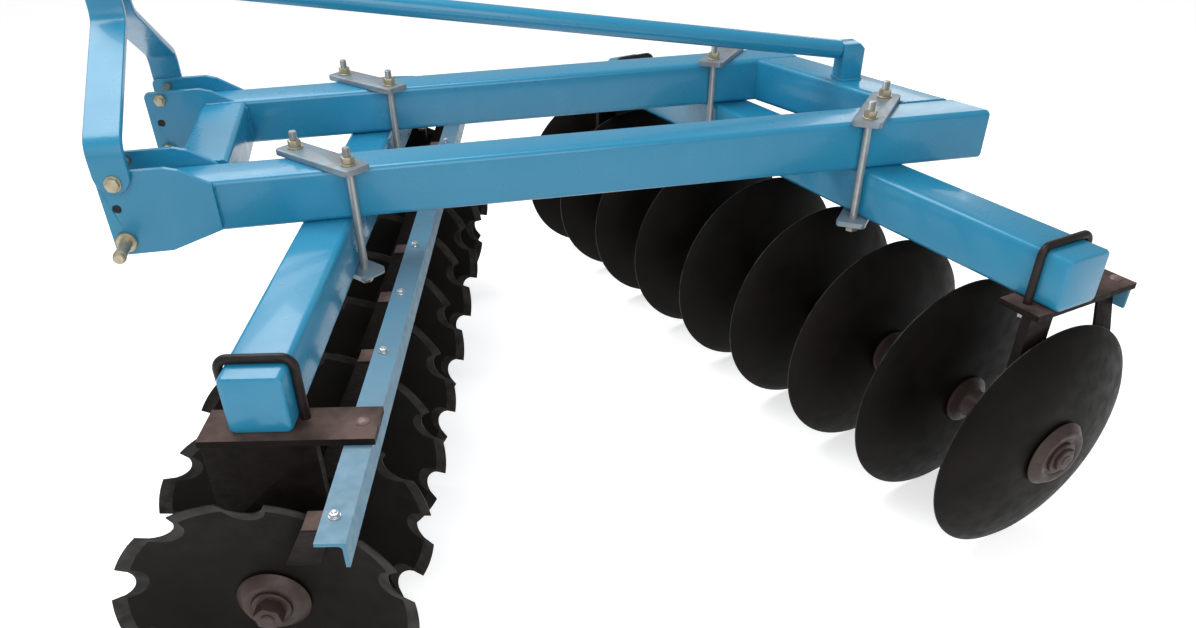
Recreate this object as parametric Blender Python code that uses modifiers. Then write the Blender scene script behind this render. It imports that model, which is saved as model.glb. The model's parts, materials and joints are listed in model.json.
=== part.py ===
"""Mounted offset disc harrow: a square-tube frame, a front gang of notched discs and a rear gang
of plain discs.

Design frame: X forwards along the main beams with 0 at their rear corner, Y to the left with 0 at
the left beam's outer face, Z up with 0 at the ground.  Everything hangs under the empty `harrow`,
which moves the middle of the machine's footprint to the world origin at the end.

Each gang has its own frame: its empty's local X runs along the gang towards the left end (`t`),
local Y runs towards the rear (`n` is counted forwards, so Y = -n), and local Z is up.
"""
import math

import bmesh
import bpy
from mathutils import Matrix, Vector

# ---------------------------------------------------------------- driving dimensions (metres)
GAP = 0.0003                    # left between pieces that touch

TUBE = 0.1016                   # side of the square beam tube
TUBE_CORNER = 0.010             # its rounded corners
FRAME_TOP = 0.7575              # height of the beams' top faces
FRAME_WIDTH = 0.6241            # over the outer faces of the two main beams
BEAM_FRONT = 1.675              # front end of the main beams and front face of the front cross beam
REAR_CROSS_SKEW = math.radians(22.3)

PLATE = 0.012                   # hitch plates
PLATE_REAR = BEAM_FRONT - 0.085
PLATE_NOSE = BEAM_FRONT + 0.119
PLATE_NOSE_RADIUS = 0.012
PLATE_TOP = FRAME_TOP + 0.0355
PLATE_BOTTOM = FRAME_TOP - 0.1255
SPARE_HOLE_X = BEAM_FRONT + 0.095   # hole between the leg's bolt and the hitch pin
SPARE_HOLE_Z = FRAME_TOP - 0.0335

LEG_WIDTH = 0.066               # flat bar of the mast
LEG_THICKNESS = 0.014
LEG_X = BEAM_FRONT + 0.084      # middle of the bar
LEG_FOOT_Z = FRAME_TOP + 0.0325 # middle of its round foot
LEG_BOLT_Z = FRAME_TOP + 0.0195
LEG_END_STEPS = 8
LEG_LOWER_BEND_Z = FRAME_TOP + 0.0845
LEG_UPPER_BEND_Z = FRAME_TOP + 0.2355
LEG_TOP_Z = FRAME_TOP + 0.3925
MAST_GAP = 0.056                # between the two bars at the top
TOP_LINK_Z = FRAME_TOP + 0.3605
PIN_RADIUS = 0.011              # top link pin and lower hitch pins
PIN_CLEARANCE = 0.0004
PIN_COLLAR = 1.75               # collar's radius over the pin's
PIN_HEAD = 1.6                  # head's or nut's radius over the pin's
PIN_COLLAR_LENGTH = 0.010
PIN_NUT_LENGTH = 0.016
PIN_INNER_END = 0.024           # of a lower pin, beyond the inner plate
TOP_PIN_END = 0.030             # of the top link pin, beyond the mast
TOP_PIN_HEAD = 0.012
LOWER_PIN_X = BEAM_FRONT + 0.095
LOWER_PIN_Z = FRAME_TOP - 0.0975
LOWER_PIN_REACH = 0.095         # beyond the beam's outer face
BOLT_RADIUS = 0.008             # 16 mm bolts and studs
BOLT_CLEARANCE = 0.0004
NUT_RADIUS = 0.0135
NUT_HEIGHT = 0.013
BOLT_END = 0.020                # of a bolt, beyond the face under its nut
HEAD_OVERLAP = 0.004            # of a bolt's shank, into its head

STAY_RADIUS = 0.020
STAY_FRONT_Z = FRAME_TOP + 0.3105  # its middle where it meets the mast
STAY_REAR_Z = FRAME_TOP + 0.0645
POST_SIDE = 0.050
POST_HEIGHT = 0.080
POST_X = 0.185
LUG_THICKNESS = 0.012
LUG_RADIUS = 0.018              # of the stay's front lug, about its bolt
LUG_OVERLAP = 0.050             # of the lug, over the pipe
EYE_RADIUS = 0.017              # of the spacer between the mast's bars

DISC_RADIUS = 0.250
DISC_THICKNESS = 0.005
DISC_DEPTH = 0.050              # dish of the blade
DISC_FLAT_RADIUS = 0.055        # flat middle of the blade
DISC_BORE = 0.0185
DISC_PITCH = 0.2223
DISCS_PER_GANG = 9
NOTCHES = 10
NOTCH_RADIUS = 0.037
NOTCH_DEPTH = 0.033
NOTCH_PHASE = math.radians(20.0)
QUARTER_TURNED_DISCS = (2, 8)   # front discs that sit a quarter turn round on the square axle
DISC_STEPS = 32                 # sides of the turned blades

AXLE_RADIUS = 0.018
SPOOL_RADIUS = 0.030
SPOOL_FLARE = 0.052
FLARE_LENGTH = 0.022
AXLE_STEPS = 18                 # sides of the turned axles
END_WASHER_LENGTH = 0.022
END_WASHER_LIP = 0.004          # of its widest edge from the blade's flat middle
END_WASHER_TAPER = 0.016        # from its widest edge to its flat face
END_NUT_RADIUS = 0.026

CLAMP_PLATE = 0.012
CLAMP_WIDTH = 0.062
CLAMP_END = 0.030               # of the plate, beyond the stud
CLAMP_CORNER = 0.012
STUD_LOWER_END = 0.004          # of the stud, below its lower nut
NUT_SINK = 0.001                # of a nut, into what it is joined to
STUD_OFFSET = 0.004             # between a stud and the tubes it passes
STUD_OVERRUN = 0.020            # of the stud, beyond its nut

HANGER_BASE = 0.012
HANGER_PLATE = 0.010
HANGER_FOOT = 0.010             # of the web, above the axle's middle
WEB_KNEE = 0.120                # above the axle's middle, where the web starts to narrow
FLANGE_REACH = 0.020            # of the flanges, along the gang
BEARING_RADIUS = 0.056
BEARING_LENGTH = 0.080
BEARING_STEPS = 20
BEARING_CLEARANCE = 0.0006      # running fit round the spool
BORE_STEPS = 24
U_BOLT_RADIUS = 0.008
U_BOLT_BEND = 0.018
U_BOLT_OVERRUN = 0.008          # of its legs, below their nuts

ANGLE_LEG = 0.044               # scraper bar, angle section
ANGLE_THICKNESS = 0.006
SCRAPER_WIDTH = 0.042
SCRAPER_TIP_WIDTH = 0.058
SCRAPER_THICKNESS = 0.006
SCRAPER_REACH = 0.1486          # of its tip, below the discs' highest points
SCRAPER_SEAT = 0.018            # of its foot, under the bar
SINK = 0.002                    # of one welded piece, into the other

# One row for each gang: yaw turns its axis from the Y axis (positive: left end forwards), beam_x is
# where the beam's middle line crosses Y = 0, ends are the beam's left and right ends from the rim
# planes of the gang's end discs, first_rim is the rim plane of the leftmost disc, dish is +1 where
# the hollow side faces the left, axle_n is how far the axle runs forwards of the beam's middle,
# washer and nut are the end washers' radius and the end nuts' length, base_n and arm_n are the front
# and rear ends of the hangers' base plates, bar_n is the rear edge of the scraper bar, bar_left its
# left end, scraper is the place of a scraper's root from its disc's rim plane and from the beam's
# middle, and lean is how far its tip lies from there.
GANGS = {
    "front": dict(yaw=math.radians(10.36), beam_x=1.3958, ends=(-0.1037, 0.0598), first_rim=0.6786,
                  dish=1, axle_n=0.029, washer=0.0625, nut=0.032, base_n=0.099, arm_n=-0.178,
                  bar_n=-0.173, bar_left=0.815, scraper=(0.080, -0.124), lean=(-0.105, 0.080)),
    "rear": dict(yaw=math.radians(-17.35), beam_x=0.2178, ends=(0.0127, 0.1858), first_rim=0.4926,
                 dish=-1, axle_n=-0.011, washer=0.070, nut=0.012, base_n=0.084, arm_n=-0.178,
                 bar_n=-0.180, bar_left=0.490, scraper=(-0.035, -0.150), lean=(0.045, 0.0)),
}
# One row for each hanger.  Along its gang, from the rim plane of the disc that is numbered in it: the
# base plate's ends, its U-bolt, the web's outer face, and which way the web's flanges reach from it.
# bearing is the number of the disc that the bearing is counted from, and the bearing's middle from
# there.  Across the gang: the web's edges.
HANGERS = {
    "front": (dict(side="left", disc=1, base=(-0.1736, -0.0856), u_bolt=-0.1466, web=-0.0906, inward=-1,
                   bearing=(1, -0.1336), edges=(0.097, -0.084)),
              dict(side="right", disc=9, base=(0.0548, 0.1508), u_bolt=0.1348, web=0.0548, inward=1,
                   bearing=(8, -0.1255), edges=(0.097, -0.060))),
    "rear": (dict(side="left", disc=1, base=(-0.0826, 0.0044), u_bolt=-0.0426, web=-0.0106, inward=-1,
                  bearing=(1, -0.0546), edges=(0.082, 0.020)),
             dict(side="right", disc=9, base=(0.1708, 0.2738), u_bolt=0.2558, web=0.1708, inward=1,
                  bearing=(9, 0.1608), edges=(0.082, 0.020))),
}

# name: base colour, roughness, metallic
FINISHES = {
    "blue_paint": ((0.06, 0.30, 0.52), 0.30, 0.0),
    "black_blade": ((0.020, 0.017, 0.015), 0.45, 0.3),
    "brown_black_paint": ((0.050, 0.036, 0.030), 0.45, 0.0),
    "zinc_plate": ((0.42, 0.44, 0.48), 0.35, 0.9),
    "bright_bolt": ((0.52, 0.48, 0.38), 0.30, 0.9),
}

# ---------------------------------------------------------------- what follows from them
GANG_TOP = FRAME_TOP - TUBE - GAP
GANG_BOTTOM = GANG_TOP - TUBE
BASE_BOTTOM = GANG_BOTTOM - GAP - HANGER_BASE
LEFT_BEAM_Y = -TUBE / 2
RIGHT_BEAM_Y = -FRAME_WIDTH + TUBE / 2
CENTRE_Y = -FRAME_WIDTH / 2
REAR_CROSS_RUN = TUBE / math.cos(REAR_CROSS_SKEW)


def clear_scene():
    """Remove whatever the scene starts with."""
    for obj in list(bpy.data.objects):
        bpy.data.objects.remove(obj, do_unlink=True)


def collection(name):
    """Make a collection in the scene."""
    group = bpy.data.collections.new(name)
    bpy.context.scene.collection.children.link(group)
    return group


def finish(name):
    """Make one piece's own material in a named finish."""
    colour, roughness, metallic = FINISHES[name]
    material = bpy.data.materials.new(name)
    material.use_nodes = True
    shader = material.node_tree.nodes["Principled BSDF"]
    shader.inputs["Base Color"].default_value = (*colour, 1.0)
    shader.inputs["Roughness"].default_value = roughness
    shader.inputs["Metallic"].default_value = metallic
    return material


def add_object(name, mesh, parent=None, finish_name=None):
    """Link a mesh as a part of the harrow, or as a cutter when it has no finish."""
    obj = bpy.data.objects.new(name, mesh)
    if finish_name:
        PARTS.objects.link(obj)
        mesh.materials.append(finish(finish_name))
    else:
        CUTTERS.objects.link(obj)
        obj.hide_render = True
        obj.display_type = "WIRE"
    obj.parent = parent
    return obj


def add_empty(name, parent=None, location=(0, 0, 0), yaw=0.0):
    """Add an empty that carries other pieces."""
    empty = bpy.data.objects.new(name, None)
    PARTS.objects.link(empty)
    empty.parent = parent
    empty.location = location
    empty.rotation_euler.z = yaw
    return empty


def box_mesh(low, high, corner=0.0, axis=None):
    """A box between two corners; its four edges along `axis` are rounded, or all of them."""
    bm = bmesh.new()
    bmesh.ops.create_cube(bm, size=1.0)
    size = Vector(high) - Vector(low)
    bmesh.ops.scale(bm, vec=size, verts=bm.verts)
    bmesh.ops.translate(bm, vec=(Vector(low) + Vector(high)) / 2, verts=bm.verts)
    if corner:
        edges = [edge for edge in bm.edges
                 if axis is None or abs((edge.verts[0].co - edge.verts[1].co)[axis]) > size[axis] / 2]
        bmesh.ops.bevel(bm, geom=edges, offset=corner, segments=2, profile=0.5, affect="EDGES")
    return to_mesh(bm)


def cylinder_mesh(radius, start, end, sides=16):
    """A closed cylinder between two points."""
    start, end = Vector(start), Vector(end)
    bm = bmesh.new()
    bmesh.ops.create_cone(bm, cap_ends=True, segments=sides, radius1=radius, radius2=radius,
                          depth=(end - start).length)
    turn = (end - start).to_track_quat("Z", "Y").to_matrix().to_4x4()
    bmesh.ops.transform(bm, matrix=Matrix.Translation((start + end) / 2) @ turn, verts=bm.verts)
    return to_mesh(bm, smooth=True)


def curve_mesh(curve, smooth=False):
    """Turn a curve's shape into a closed mesh and remove the curve."""
    guide = bpy.data.objects.new("guide", curve)
    CUTTERS.objects.link(guide)
    bpy.context.view_layer.update()
    shape = guide.evaluated_get(bpy.context.evaluated_depsgraph_get())
    mesh = bpy.data.meshes.new_from_object(shape)
    bpy.data.objects.remove(guide)
    bm = bmesh.new()
    bm.from_mesh(mesh)
    bmesh.ops.remove_doubles(bm, verts=bm.verts, dist=0.0001)
    return to_mesh(bm, smooth)


def poly_spline(curve, points):
    """Add a straight-segment spline through points of two or three coordinates."""
    spline = curve.splines.new("POLY")
    spline.points.add(len(points) - 1)
    for point, place in zip(spline.points, points):
        point.co = (*place, 0.0, 1.0) if len(place) == 2 else (*place, 1.0)
    return spline


def outline_mesh(points, thickness, place=Matrix()):
    """A plate: a flat outline in its own XY plane, `thickness` deep along +Z, then placed."""
    curve = bpy.data.curves.new("outline", "CURVE")
    curve.dimensions = "2D"
    curve.fill_mode = "BOTH"
    curve.extrude = thickness / 2
    poly_spline(curve, points).use_cyclic_u = True
    mesh = curve_mesh(curve)
    mesh.transform(place @ Matrix.Translation((0, 0, thickness / 2)))
    if place.determinant() < 0:
        mesh.flip_normals()
    return mesh


def to_mesh(bm, smooth=False):
    """Close a bmesh into a mesh with its faces pointing out."""
    bmesh.ops.recalc_face_normals(bm, faces=bm.faces)
    mesh = bpy.data.meshes.new("mesh")
    bm.to_mesh(mesh)
    bm.free()
    if smooth:
        mesh.shade_smooth()
        mesh.set_sharp_from_angle(angle=math.radians(35))
    return mesh


def arc(centre, radius, start, end, steps):
    """Points of an arc, angles in degrees."""
    angles = [math.radians(start + (end - start) * i / steps) for i in range(steps + 1)]
    return [(centre[0] + radius * math.cos(a), centre[1] + radius * math.sin(a)) for a in angles]


def boolean(obj, cutter_mesh, operation="DIFFERENCE"):
    """Cut a shape from a piece, or join it on.  The cutter shares the piece's parent."""
    cutter = add_object(f"{obj.name}_{operation.lower()}", cutter_mesh, obj.parent)
    cutter.location = obj.location
    cutter.rotation_euler = obj.rotation_euler
    modifier = obj.modifiers.new(operation.title(), "BOOLEAN")
    modifier.object = cutter
    modifier.operation = operation
    modifier.solver = "EXACT"
    return obj


def union(obj, mesh):
    """Join a shape onto a piece."""
    return boolean(obj, mesh, "UNION")


XZ_PLATE = Matrix(((1, 0, 0, 0), (0, 0, 1, 0), (0, 1, 0, 0), (0, 0, 0, 1)))   # outline in X and Z
YZ_PLATE = Matrix(((0, 0, 1, 0), (1, 0, 0, 0), (0, 1, 0, 0), (0, 0, 0, 1)))   # outline in Y and Z


# ---------------------------------------------------------------- frame
def skewed_rear_x(y):
    """X of the frame's slanting rear face at a given Y."""
    return -y * math.tan(REAR_CROSS_SKEW)


def build_main_beam(name, outer_y, root):
    """A main beam, its rear end cut along the slanting rear face."""
    low = (-0.30, outer_y - TUBE, FRAME_TOP - TUBE)
    beam = add_object(name, box_mesh(low, (BEAM_FRONT, outer_y, FRAME_TOP), TUBE_CORNER, 0), root,
                      "blue_paint")
    far = outer_y - 2 * TUBE
    near = outer_y + TUBE
    waste = [(-1.0, far), (skewed_rear_x(far), far), (skewed_rear_x(near), near), (-1.0, near)]
    lift = Matrix.Translation((0, 0, FRAME_TOP - 2 * TUBE))
    boolean(beam, outline_mesh(waste, 3 * TUBE, lift))


def build_cross_beams(root):
    """The square front cross beam between the inner hitch plates, and the slanting rear one."""
    left = -TUBE - PLATE - 2 * GAP
    right = -FRAME_WIDTH + TUBE + PLATE + 2 * GAP
    low = (BEAM_FRONT - TUBE, right, FRAME_TOP - TUBE)
    add_object("front_cross_beam", box_mesh(low, (BEAM_FRONT, left, FRAME_TOP), TUBE_CORNER, 1),
               root, "blue_paint")

    length = FRAME_WIDTH / math.cos(REAR_CROSS_SKEW)
    mesh = box_mesh((0.0, -length, FRAME_TOP - TUBE), (TUBE, length, FRAME_TOP), TUBE_CORNER, 1)
    mesh.transform(Matrix.Rotation(REAR_CROSS_SKEW, 4, "Z"))
    rear = add_object("rear_cross_beam", mesh, root, "blue_paint")
    reach = 2 * FRAME_WIDTH
    for low_y, high_y in ((-TUBE - GAP, reach), (-reach, -FRAME_WIDTH + TUBE + GAP)):
        boolean(rear, box_mesh((-reach, low_y, 0.0), (reach, high_y, 2 * FRAME_TOP)))


def hitch_plate_outline():
    """Outline of a hitch plate in X and Z: a rounded nose, a raised top and a dropped belly."""
    nose = PLATE_NOSE_RADIUS
    belly = [(PLATE_REAR, FRAME_TOP - TUBE + 0.008), (PLATE_REAR + 0.100, PLATE_BOTTOM)]
    lower = arc((PLATE_NOSE - nose, PLATE_BOTTOM + nose), nose, -90, 0, 3)
    upper = arc((PLATE_NOSE - nose, PLATE_TOP - nose), nose, 0, 90, 3)
    crown = [(PLATE_REAR + 0.080, PLATE_TOP), (PLATE_REAR + 0.055, PLATE_TOP - 0.007),
             (PLATE_REAR, FRAME_TOP - 0.004)]
    return belly + lower + upper + crown


def across(x, z, start, end):
    """Two points at one X and Z, for a pin or hole that runs across the machine."""
    return (x, start, z), (x, end, z)


def build_hitch(root):
    """Four hitch plates on the beams' sides and the two lower hitch pins through them."""
    outline = hitch_plate_outline()
    # X, Z and radius
    holes = ((LOWER_PIN_X, LOWER_PIN_Z, PIN_RADIUS + PIN_CLEARANCE),
             (LEG_X, LEG_BOLT_Z, BOLT_RADIUS + BOLT_CLEARANCE), (SPARE_HOLE_X, SPARE_HOLE_Z, BOLT_RADIUS))
    # name, Y of the plate's right face
    faces = (("left_outer_hitch_plate", GAP), ("left_inner_hitch_plate", -TUBE - GAP - PLATE),
             ("right_inner_hitch_plate", -FRAME_WIDTH + TUBE + GAP),
             ("right_outer_hitch_plate", -FRAME_WIDTH - GAP - PLATE))
    for name, y in faces:
        plate = add_object(name, outline_mesh(outline, PLATE, Matrix.Translation((0, y, 0)) @ XZ_PLATE),
                           root, "blue_paint")
        for x, z, radius in holes:
            boolean(plate, cylinder_mesh(radius, *across(x, z, y - PLATE, y + 2 * PLATE)))

    for side, outer_y, out in (("left", 0.0, 1), ("right", -FRAME_WIDTH, -1)):
        inner = outer_y - out * (TUBE + GAP + PLATE)
        face = outer_y + out * (GAP + PLATE)
        tip = outer_y + out * LOWER_PIN_REACH
        # radius, where it starts and ends, and sides
        shank, collar, nut = ((PIN_RADIUS, inner - out * PIN_INNER_END, tip, 16),
                              (PIN_RADIUS * PIN_COLLAR, face + out * GAP, face + out * PIN_COLLAR_LENGTH, 16),
                              (PIN_RADIUS * PIN_HEAD, inner - out * GAP, inner - out * PIN_NUT_LENGTH, 6))
        pin = add_object(f"{side}_lower_hitch_pin", hitch_pin_mesh(*shank), root, "bright_bolt")
        union(pin, hitch_pin_mesh(*collar))
        union(pin, hitch_pin_mesh(*nut))


def hitch_pin_mesh(radius, start, end, sides):
    """A stretch of a lower hitch pin."""
    return cylinder_mesh(radius, *across(LOWER_PIN_X, LOWER_PIN_Z, start, end), sides)


def mast_leg_outline(out, outer_y):
    """Side outline of a mast leg in Y and Z, bent in at the lower bend and up at the upper one."""
    foot = outer_y + out * (2 * GAP + PLATE)
    top = CENTRE_Y + out * MAST_GAP / 2
    rise = LEG_UPPER_BEND_Z - LEG_LOWER_BEND_Z
    run = abs(foot - top)
    half = math.atan2(run, rise) / 2
    shift = out * LEG_THICKNESS
    drop = LEG_THICKNESS * math.tan(half)
    foot_bottom = LEG_FOOT_Z - LEG_WIDTH / 2
    return [(foot, foot_bottom), (foot + shift, foot_bottom), (foot + shift, LEG_LOWER_BEND_Z + drop),
            (top + shift, LEG_UPPER_BEND_Z + drop), (top + shift, LEG_TOP_Z), (top, LEG_TOP_Z),
            (top, LEG_UPPER_BEND_Z), (foot, LEG_LOWER_BEND_Z)]


def round_leg_end(leg, z, up):
    """Cut a mast leg's end to a half circle about (LEG_X, z)."""
    radius = LEG_WIDTH / 2
    beyond = radius + TUBE_CORNER
    way = 1 if up else -1
    corners = [(LEG_X + beyond, z), (LEG_X + beyond, z + way * beyond), (LEG_X - beyond, z + way * beyond),
               (LEG_X - beyond, z)]
    rounding = arc((LEG_X, z), radius, way * 180, 0, LEG_END_STEPS)
    span = 2 * FRAME_WIDTH
    place = Matrix.Translation((0, CENTRE_Y - span / 2, 0)) @ XZ_PLATE
    boolean(leg, outline_mesh(corners + rounding, span, place))


def through_bolt(name, x, z, left_face, right_face, root):
    """A bolt across the machine, its head on the left face and its nut on the right one."""
    out = math.copysign(1, left_face - right_face)
    bolt = add_object(name, cylinder_mesh(BOLT_RADIUS, *across(x, z, right_face - out * BOLT_END,
                                                               left_face + out * HEAD_OVERLAP)),
                      root, "bright_bolt")
    for start, way in ((left_face, out), (right_face, -out)):
        union(bolt, cylinder_mesh(NUT_RADIUS, *across(x, z, start, start + way * NUT_HEIGHT), 6))


def build_mast(root):
    """Two bent flat bars, their foot bolts, the top link pin and the bolt that holds the stay."""
    for side, outer_y, out in (("left", 0.0, 1), ("right", -FRAME_WIDTH, -1)):
        place = Matrix.Translation((LEG_X - LEG_WIDTH / 2, 0, 0)) @ YZ_PLATE
        leg = add_object(f"{side}_mast_leg", outline_mesh(mast_leg_outline(out, outer_y), LEG_WIDTH, place),
                         root, "blue_paint")
        round_leg_end(leg, LEG_FOOT_Z, False)
        round_leg_end(leg, LEG_TOP_Z - LEG_WIDTH / 2, True)
        holes = ((LEG_BOLT_Z, BOLT_RADIUS + BOLT_CLEARANCE), (TOP_LINK_Z, PIN_RADIUS + PIN_CLEARANCE),
                 (STAY_FRONT_Z, BOLT_RADIUS + BOLT_CLEARANCE))
        for z, hole in holes:
            boolean(leg, cylinder_mesh(hole, *across(LEG_X, z, -2 * FRAME_WIDTH, FRAME_WIDTH)))
        outside = outer_y + out * (3 * GAP + PLATE + LEG_THICKNESS)
        inside = outer_y - out * (TUBE + 2 * GAP + PLATE)
        through_bolt(f"{side}_mast_bolt", LEG_X, LEG_BOLT_Z, outside, inside, root)

    reach = MAST_GAP / 2 + LEG_THICKNESS + GAP
    face = CENTRE_Y + reach
    shank = across(LEG_X, TOP_LINK_Z, CENTRE_Y - reach - TOP_PIN_END, face + TOP_PIN_HEAD / 2)
    pin = add_object("top_link_pin", cylinder_mesh(PIN_RADIUS, *shank), root, "bright_bolt")
    union(pin, cylinder_mesh(PIN_RADIUS * PIN_HEAD, *across(LEG_X, TOP_LINK_Z, face, face + TOP_PIN_HEAD)))
    through_bolt("stay_bolt", LEG_X, STAY_FRONT_Z, face, CENTRE_Y - reach, root)


def build_stay(root):
    """The round stay from the mast down to a short post on the rear cross beam."""
    add_object("stay_post",
               box_mesh((POST_X - POST_SIDE / 2, CENTRE_Y - POST_SIDE / 2, FRAME_TOP + GAP),
                        (POST_X + POST_SIDE / 2, CENTRE_Y + POST_SIDE / 2, FRAME_TOP + POST_HEIGHT)),
               root, "blue_paint")
    rear_x = POST_X + POST_SIDE / 2 + GAP
    front_x = LEG_X - LEG_WIDTH / 2 - 0.010
    slope = (STAY_FRONT_Z - STAY_REAR_Z) / (LEG_X - rear_x)
    pipe_mesh = cylinder_mesh(STAY_RADIUS, (rear_x, CENTRE_Y, 0), (front_x, CENTRE_Y, 0), 20)
    for vertex in pipe_mesh.vertices:
        vertex.co.z += STAY_REAR_Z + slope * (vertex.co.x - rear_x)
    pipe = add_object("stay_pipe", pipe_mesh, root, "blue_paint")
    lug = [(front_x - LUG_OVERLAP, STAY_FRONT_Z - 0.026), (LEG_X, STAY_FRONT_Z - LUG_RADIUS),
           *arc((LEG_X, STAY_FRONT_Z), LUG_RADIUS, -60, 90, 5), (front_x - LUG_OVERLAP, STAY_FRONT_Z + 0.010)]
    place = Matrix.Translation((0, CENTRE_Y - LUG_THICKNESS / 2, 0)) @ XZ_PLATE
    union(pipe, outline_mesh(lug, LUG_THICKNESS, place))
    half = MAST_GAP / 2 - GAP
    union(pipe, cylinder_mesh(EYE_RADIUS, *across(LEG_X, STAY_FRONT_Z, CENTRE_Y - half, CENTRE_Y + half)))
    boolean(pipe, cylinder_mesh(BOLT_RADIUS + BOLT_CLEARANCE,
                                *across(LEG_X, STAY_FRONT_Z, CENTRE_Y - MAST_GAP, CENTRE_Y + MAST_GAP)))


# ---------------------------------------------------------------- gangs: beam, clamps, hangers
def rim_planes(gang):
    """Places of the discs' rim planes along the gang, from the left."""
    return [gang["first_rim"] - i * DISC_PITCH for i in range(DISCS_PER_GANG)]


def placed(gang, row):
    """A hanger's row with its places counted along the gang, not from its discs."""
    rims = rim_planes(gang)
    disc = rims[row["disc"] - 1]
    bearing_disc, from_there = row["bearing"]
    base = tuple(disc + end for end in row["base"])
    return dict(row, base=base, u_bolt=disc + row["u_bolt"], web=disc + row["web"],
                bearing=rims[bearing_disc - 1] + from_there)


def build_gang_beam(name, gang, carrier):
    """The gang's square beam, under the main beams."""
    rims = rim_planes(gang)
    left, right = rims[0] + gang["ends"][0], rims[-1] + gang["ends"][1]
    mesh = box_mesh((right, -TUBE / 2, GANG_BOTTOM), (left, TUBE / 2, GANG_TOP), TUBE_CORNER)
    add_object(f"{name}_gang_beam", mesh, carrier, "blue_paint")


def clamp_studs(gang, beam_y):
    """Two opposite corners of the crossing of a gang beam and a main beam, clear of both tubes."""
    aside = TUBE / 2 + BOLT_RADIUS + STUD_OFFSET
    yaw = gang["yaw"]
    studs = []
    for side in (1, -1):
        y = beam_y + side * aside
        middle = gang["beam_x"] + y * math.tan(yaw)
        lead = -1 if yaw > 0 else 1
        studs.append(Vector((middle + side * lead * aside / math.cos(yaw), y, 0)))
    return studs


def build_clamp(name, gang, beam_y, root):
    """Two slanting plates, over the main beam and under the gang beam, pulled together by studs."""
    near, far = clamp_studs(gang, beam_y)
    along = (near - far).normalized()
    half = (near - far).length / 2 + CLAMP_END
    middle = (near + far) / 2
    turn = Matrix.Rotation(math.atan2(along.y, along.x), 4, "Z")
    upper, lower = FRAME_TOP + GAP, GANG_BOTTOM - GAP - CLAMP_PLATE
    plates = []
    for level in (upper, lower):
        mesh = box_mesh((-half, -CLAMP_WIDTH / 2, 0), (half, CLAMP_WIDTH / 2, CLAMP_PLATE), CLAMP_CORNER, 2)
        mesh.transform(Matrix.Translation((middle.x, middle.y, level)) @ turn)
        plates.append(mesh)
    clamp = add_object(name, plates[0], root, "zinc_plate")
    low = lower - NUT_HEIGHT - STUD_LOWER_END
    high = upper + CLAMP_PLATE + NUT_HEIGHT + STUD_OVERRUN
    for stud in (near, far):
        union(clamp, cylinder_mesh(BOLT_RADIUS, (stud.x, stud.y, low), (stud.x, stud.y, high), 12))
    union(clamp, plates[1])
    for stud in (near, far):
        for start in (upper + CLAMP_PLATE - NUT_SINK, lower - NUT_HEIGHT - NUT_SINK):
            union(clamp, cylinder_mesh(NUT_RADIUS, (stud.x, stud.y, start),
                                       (stud.x, stud.y, start + NUT_HEIGHT + 2 * NUT_SINK), 6))


def u_bolt_leg_y():
    """How far a U-bolt's legs stand from the gang beam's middle."""
    return TUBE / 2 + GAP + U_BOLT_RADIUS


def hanger_web_mesh(gang, row, top):
    """The web: as wide as its edges say down to its knee, then narrowing to the bearing."""
    front, rear = row["edges"]
    knee = DISC_RADIUS + WEB_KNEE
    foot = DISC_RADIUS + HANGER_FOOT
    outline = [(-front, top), (-front, knee), (-gang["axle_n"] - BEARING_RADIUS + SINK, foot),
               (-gang["axle_n"] + BEARING_RADIUS - SINK, foot), (-rear, knee), (-rear, top)]
    start = min(row["web"], row["web"] + row["inward"] * HANGER_PLATE)
    return outline_mesh(outline, HANGER_PLATE, Matrix.Translation((start, 0, 0)) @ YZ_PLATE)


def build_hanger(name, gang, row, carrier):
    """Base plate with its scraper arm, a flanged web down to the axle, and the bearing housing."""
    low_t, high_t = row["base"]
    top = BASE_BOTTOM + HANGER_BASE
    base = box_mesh((low_t, -gang["base_n"], BASE_BOTTOM), (high_t, -gang["arm_n"], top))
    hanger = add_object(name, base, carrier, "brown_black_paint")
    overlap = BASE_BOTTOM + HANGER_BASE / 3
    union(hanger, hanger_web_mesh(gang, row, overlap))
    inward = row["inward"]
    near_t, far_t = sorted((row["web"] + inward * HANGER_PLATE / 2, row["web"] + inward * FLANGE_REACH))
    front, rear = row["edges"]
    for y in (-front, -rear - HANGER_PLATE):
        union(hanger, box_mesh((near_t, y, DISC_RADIUS + WEB_KNEE), (far_t, y + HANGER_PLATE, overlap)))

    def on_axle(reach):
        """Two points on the axle's line, as far as `reach` either side of the bearing's middle."""
        return [(row["bearing"] + side * reach, -gang["axle_n"], DISC_RADIUS) for side in (-1, 1)]

    union(hanger, cylinder_mesh(BEARING_RADIUS, *on_axle(BEARING_LENGTH / 2), BEARING_STEPS))
    bore = (SPOOL_RADIUS + BEARING_CLEARANCE) / math.cos(math.pi / BORE_STEPS)
    boolean(hanger, cylinder_mesh(bore, *on_axle(BEARING_LENGTH), BORE_STEPS))
    for y in (u_bolt_leg_y(), -u_bolt_leg_y()):
        boolean(hanger, cylinder_mesh(U_BOLT_RADIUS + BOLT_CLEARANCE,
                                      (row["u_bolt"], y, BASE_BOTTOM - HANGER_BASE),
                                      (row["u_bolt"], y, top + HANGER_BASE)))


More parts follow.
